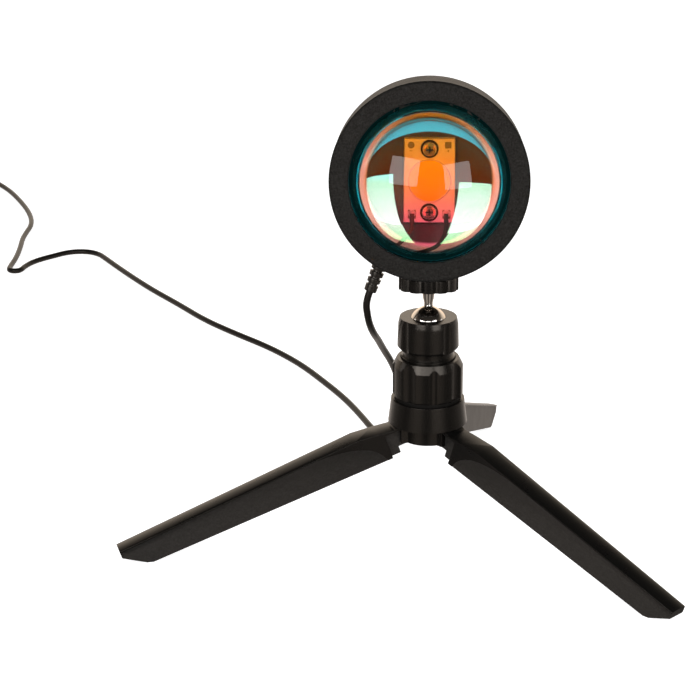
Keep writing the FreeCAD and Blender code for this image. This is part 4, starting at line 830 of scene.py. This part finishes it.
links.new(parts.outputs["Y"], ahead.inputs["Value"])
links.new(ahead.outputs["Result"], near.inputs["Fac"])
links.new(parts.outputs["Y"], turned_round.inputs[0])
links.new(parts.outputs["X"], azimuth.inputs[0])
links.new(turned_round.outputs[0], azimuth.inputs[1])
links.new(azimuth.outputs[0], spread.inputs["Value"])
links.new(spread.outputs["Result"], table.inputs["Fac"])
links.new(rays.outputs["Is Transmission Ray"], level.inputs[0])
links.new(table.outputs["Color"], level.inputs[6])
links.new(near.outputs["Color"], level.inputs[7])
links.new(level.outputs[2], glow.inputs["Color"])
links.new(rays.outputs["Is Glossy Ray"], mirrored.inputs[0])
links.new(rays.outputs["Is Transmission Ray"], mirrored.inputs[1])
links.new(mirrored.outputs[0], either.inputs[0])
links.new(shader.outputs["BSDF"], either.inputs[1])
links.new(glow.outputs["Emission"], either.inputs[2])
links.new(either.outputs["Shader"], nodes["Material Output"].inputs["Surface"])
floor.data.materials.append(floor_paint)


# Two softboxes stand in front, with a pair above them for the inside of the lens. Three
# strips and two side cards draw the bright edges, a soft light hangs overhead, and a
# spot at the camera lights the drum's inside.
def softbox(name, place, aim, width, height, level):
    """A soft light; level is how bright its face is."""
    data = bpy.data.lights.new(name, "AREA")
    data.shape = "RECTANGLE"
    data.size = width
    data.size_y = height
    data.energy = level * math.pi * width * height
    lamp = bpy.data.objects.new(name, data)
    bpy.context.collection.objects.link(lamp)
    lamp.location = place
    lamp.rotation_euler = (Vector(aim) - Vector(place)).to_track_quat("-Z", "Y").to_euler()
    return lamp


drum_middle, knob_middle, hub_middle = (
    (lamp_x, -0.03, height) for height in (0.15, 0.08, 0.12))
softbox("softbox_left", (-0.52, -1.0, 0.46), drum_middle, 0.66, 0.60, 4.0)
softbox("softbox_right", (0.59, -0.97, 0.36), drum_middle, 0.60, 0.54, 4.0)
for name, across in (("lens_light_left", -0.46), ("lens_light_right", 0.52)):
    upper = softbox(name, (across, -0.88, 0.80), drum_middle, 0.62, 0.40, 3.4)
    upper.visible_glossy = False
without_lens = bpy.data.collections.new("without_lens")
without_lens.objects.link(lens)
for name, across, ahead in (("high_left", -0.66, -0.76), ("high_middle", 0.0, -0.98),
                            ("high_right", 0.69, -0.74)):
    high = softbox(name, (across, ahead, 0.74), knob_middle, 0.62, 0.22, 4.0)
    high.visible_transmission = False
    high.light_linking.receiver_collection = without_lens
without_lens.collection_objects[0].light_linking.link_state = "EXCLUDE"
softbox("card_left", (-1.15, 0.12, 0.34), hub_middle, 0.30, 0.45, 1.0)
softbox("card_right", (1.15, 0.12, 0.34), hub_middle, 0.30, 0.45, 1.0)
top = softbox("softbox_top", (lamp_x, -0.46, 1.22), (lamp_x, -0.03, 0.10), 0.8, 0.4, 2.0)
top.visible_glossy = False
top.visible_transmission = False
inside = bpy.data.lights.new("lens_spot", "SPOT")
inside.energy = 15.5
inside.spot_size = 2.0 * math.atan(0.031 / 0.9)
inside.spot_blend = 0.1
inside.shadow_soft_size = 0.02
lens_spot = bpy.data.objects.new("lens_spot", inside)
bpy.context.collection.objects.link(lens_spot)
lens_spot.location = camera.matrix_world.translation
to_lens = in_drum.translation - lens_spot.location
lens_spot.rotation_euler = to_lens.to_track_quat("-Z", "Y").to_euler()
lens_spot.visible_glossy = False
lens_spot.visible_transmission = False

# Last, the plain view setting.
bpy.context.scene.view_settings.view_transform = "Standard"
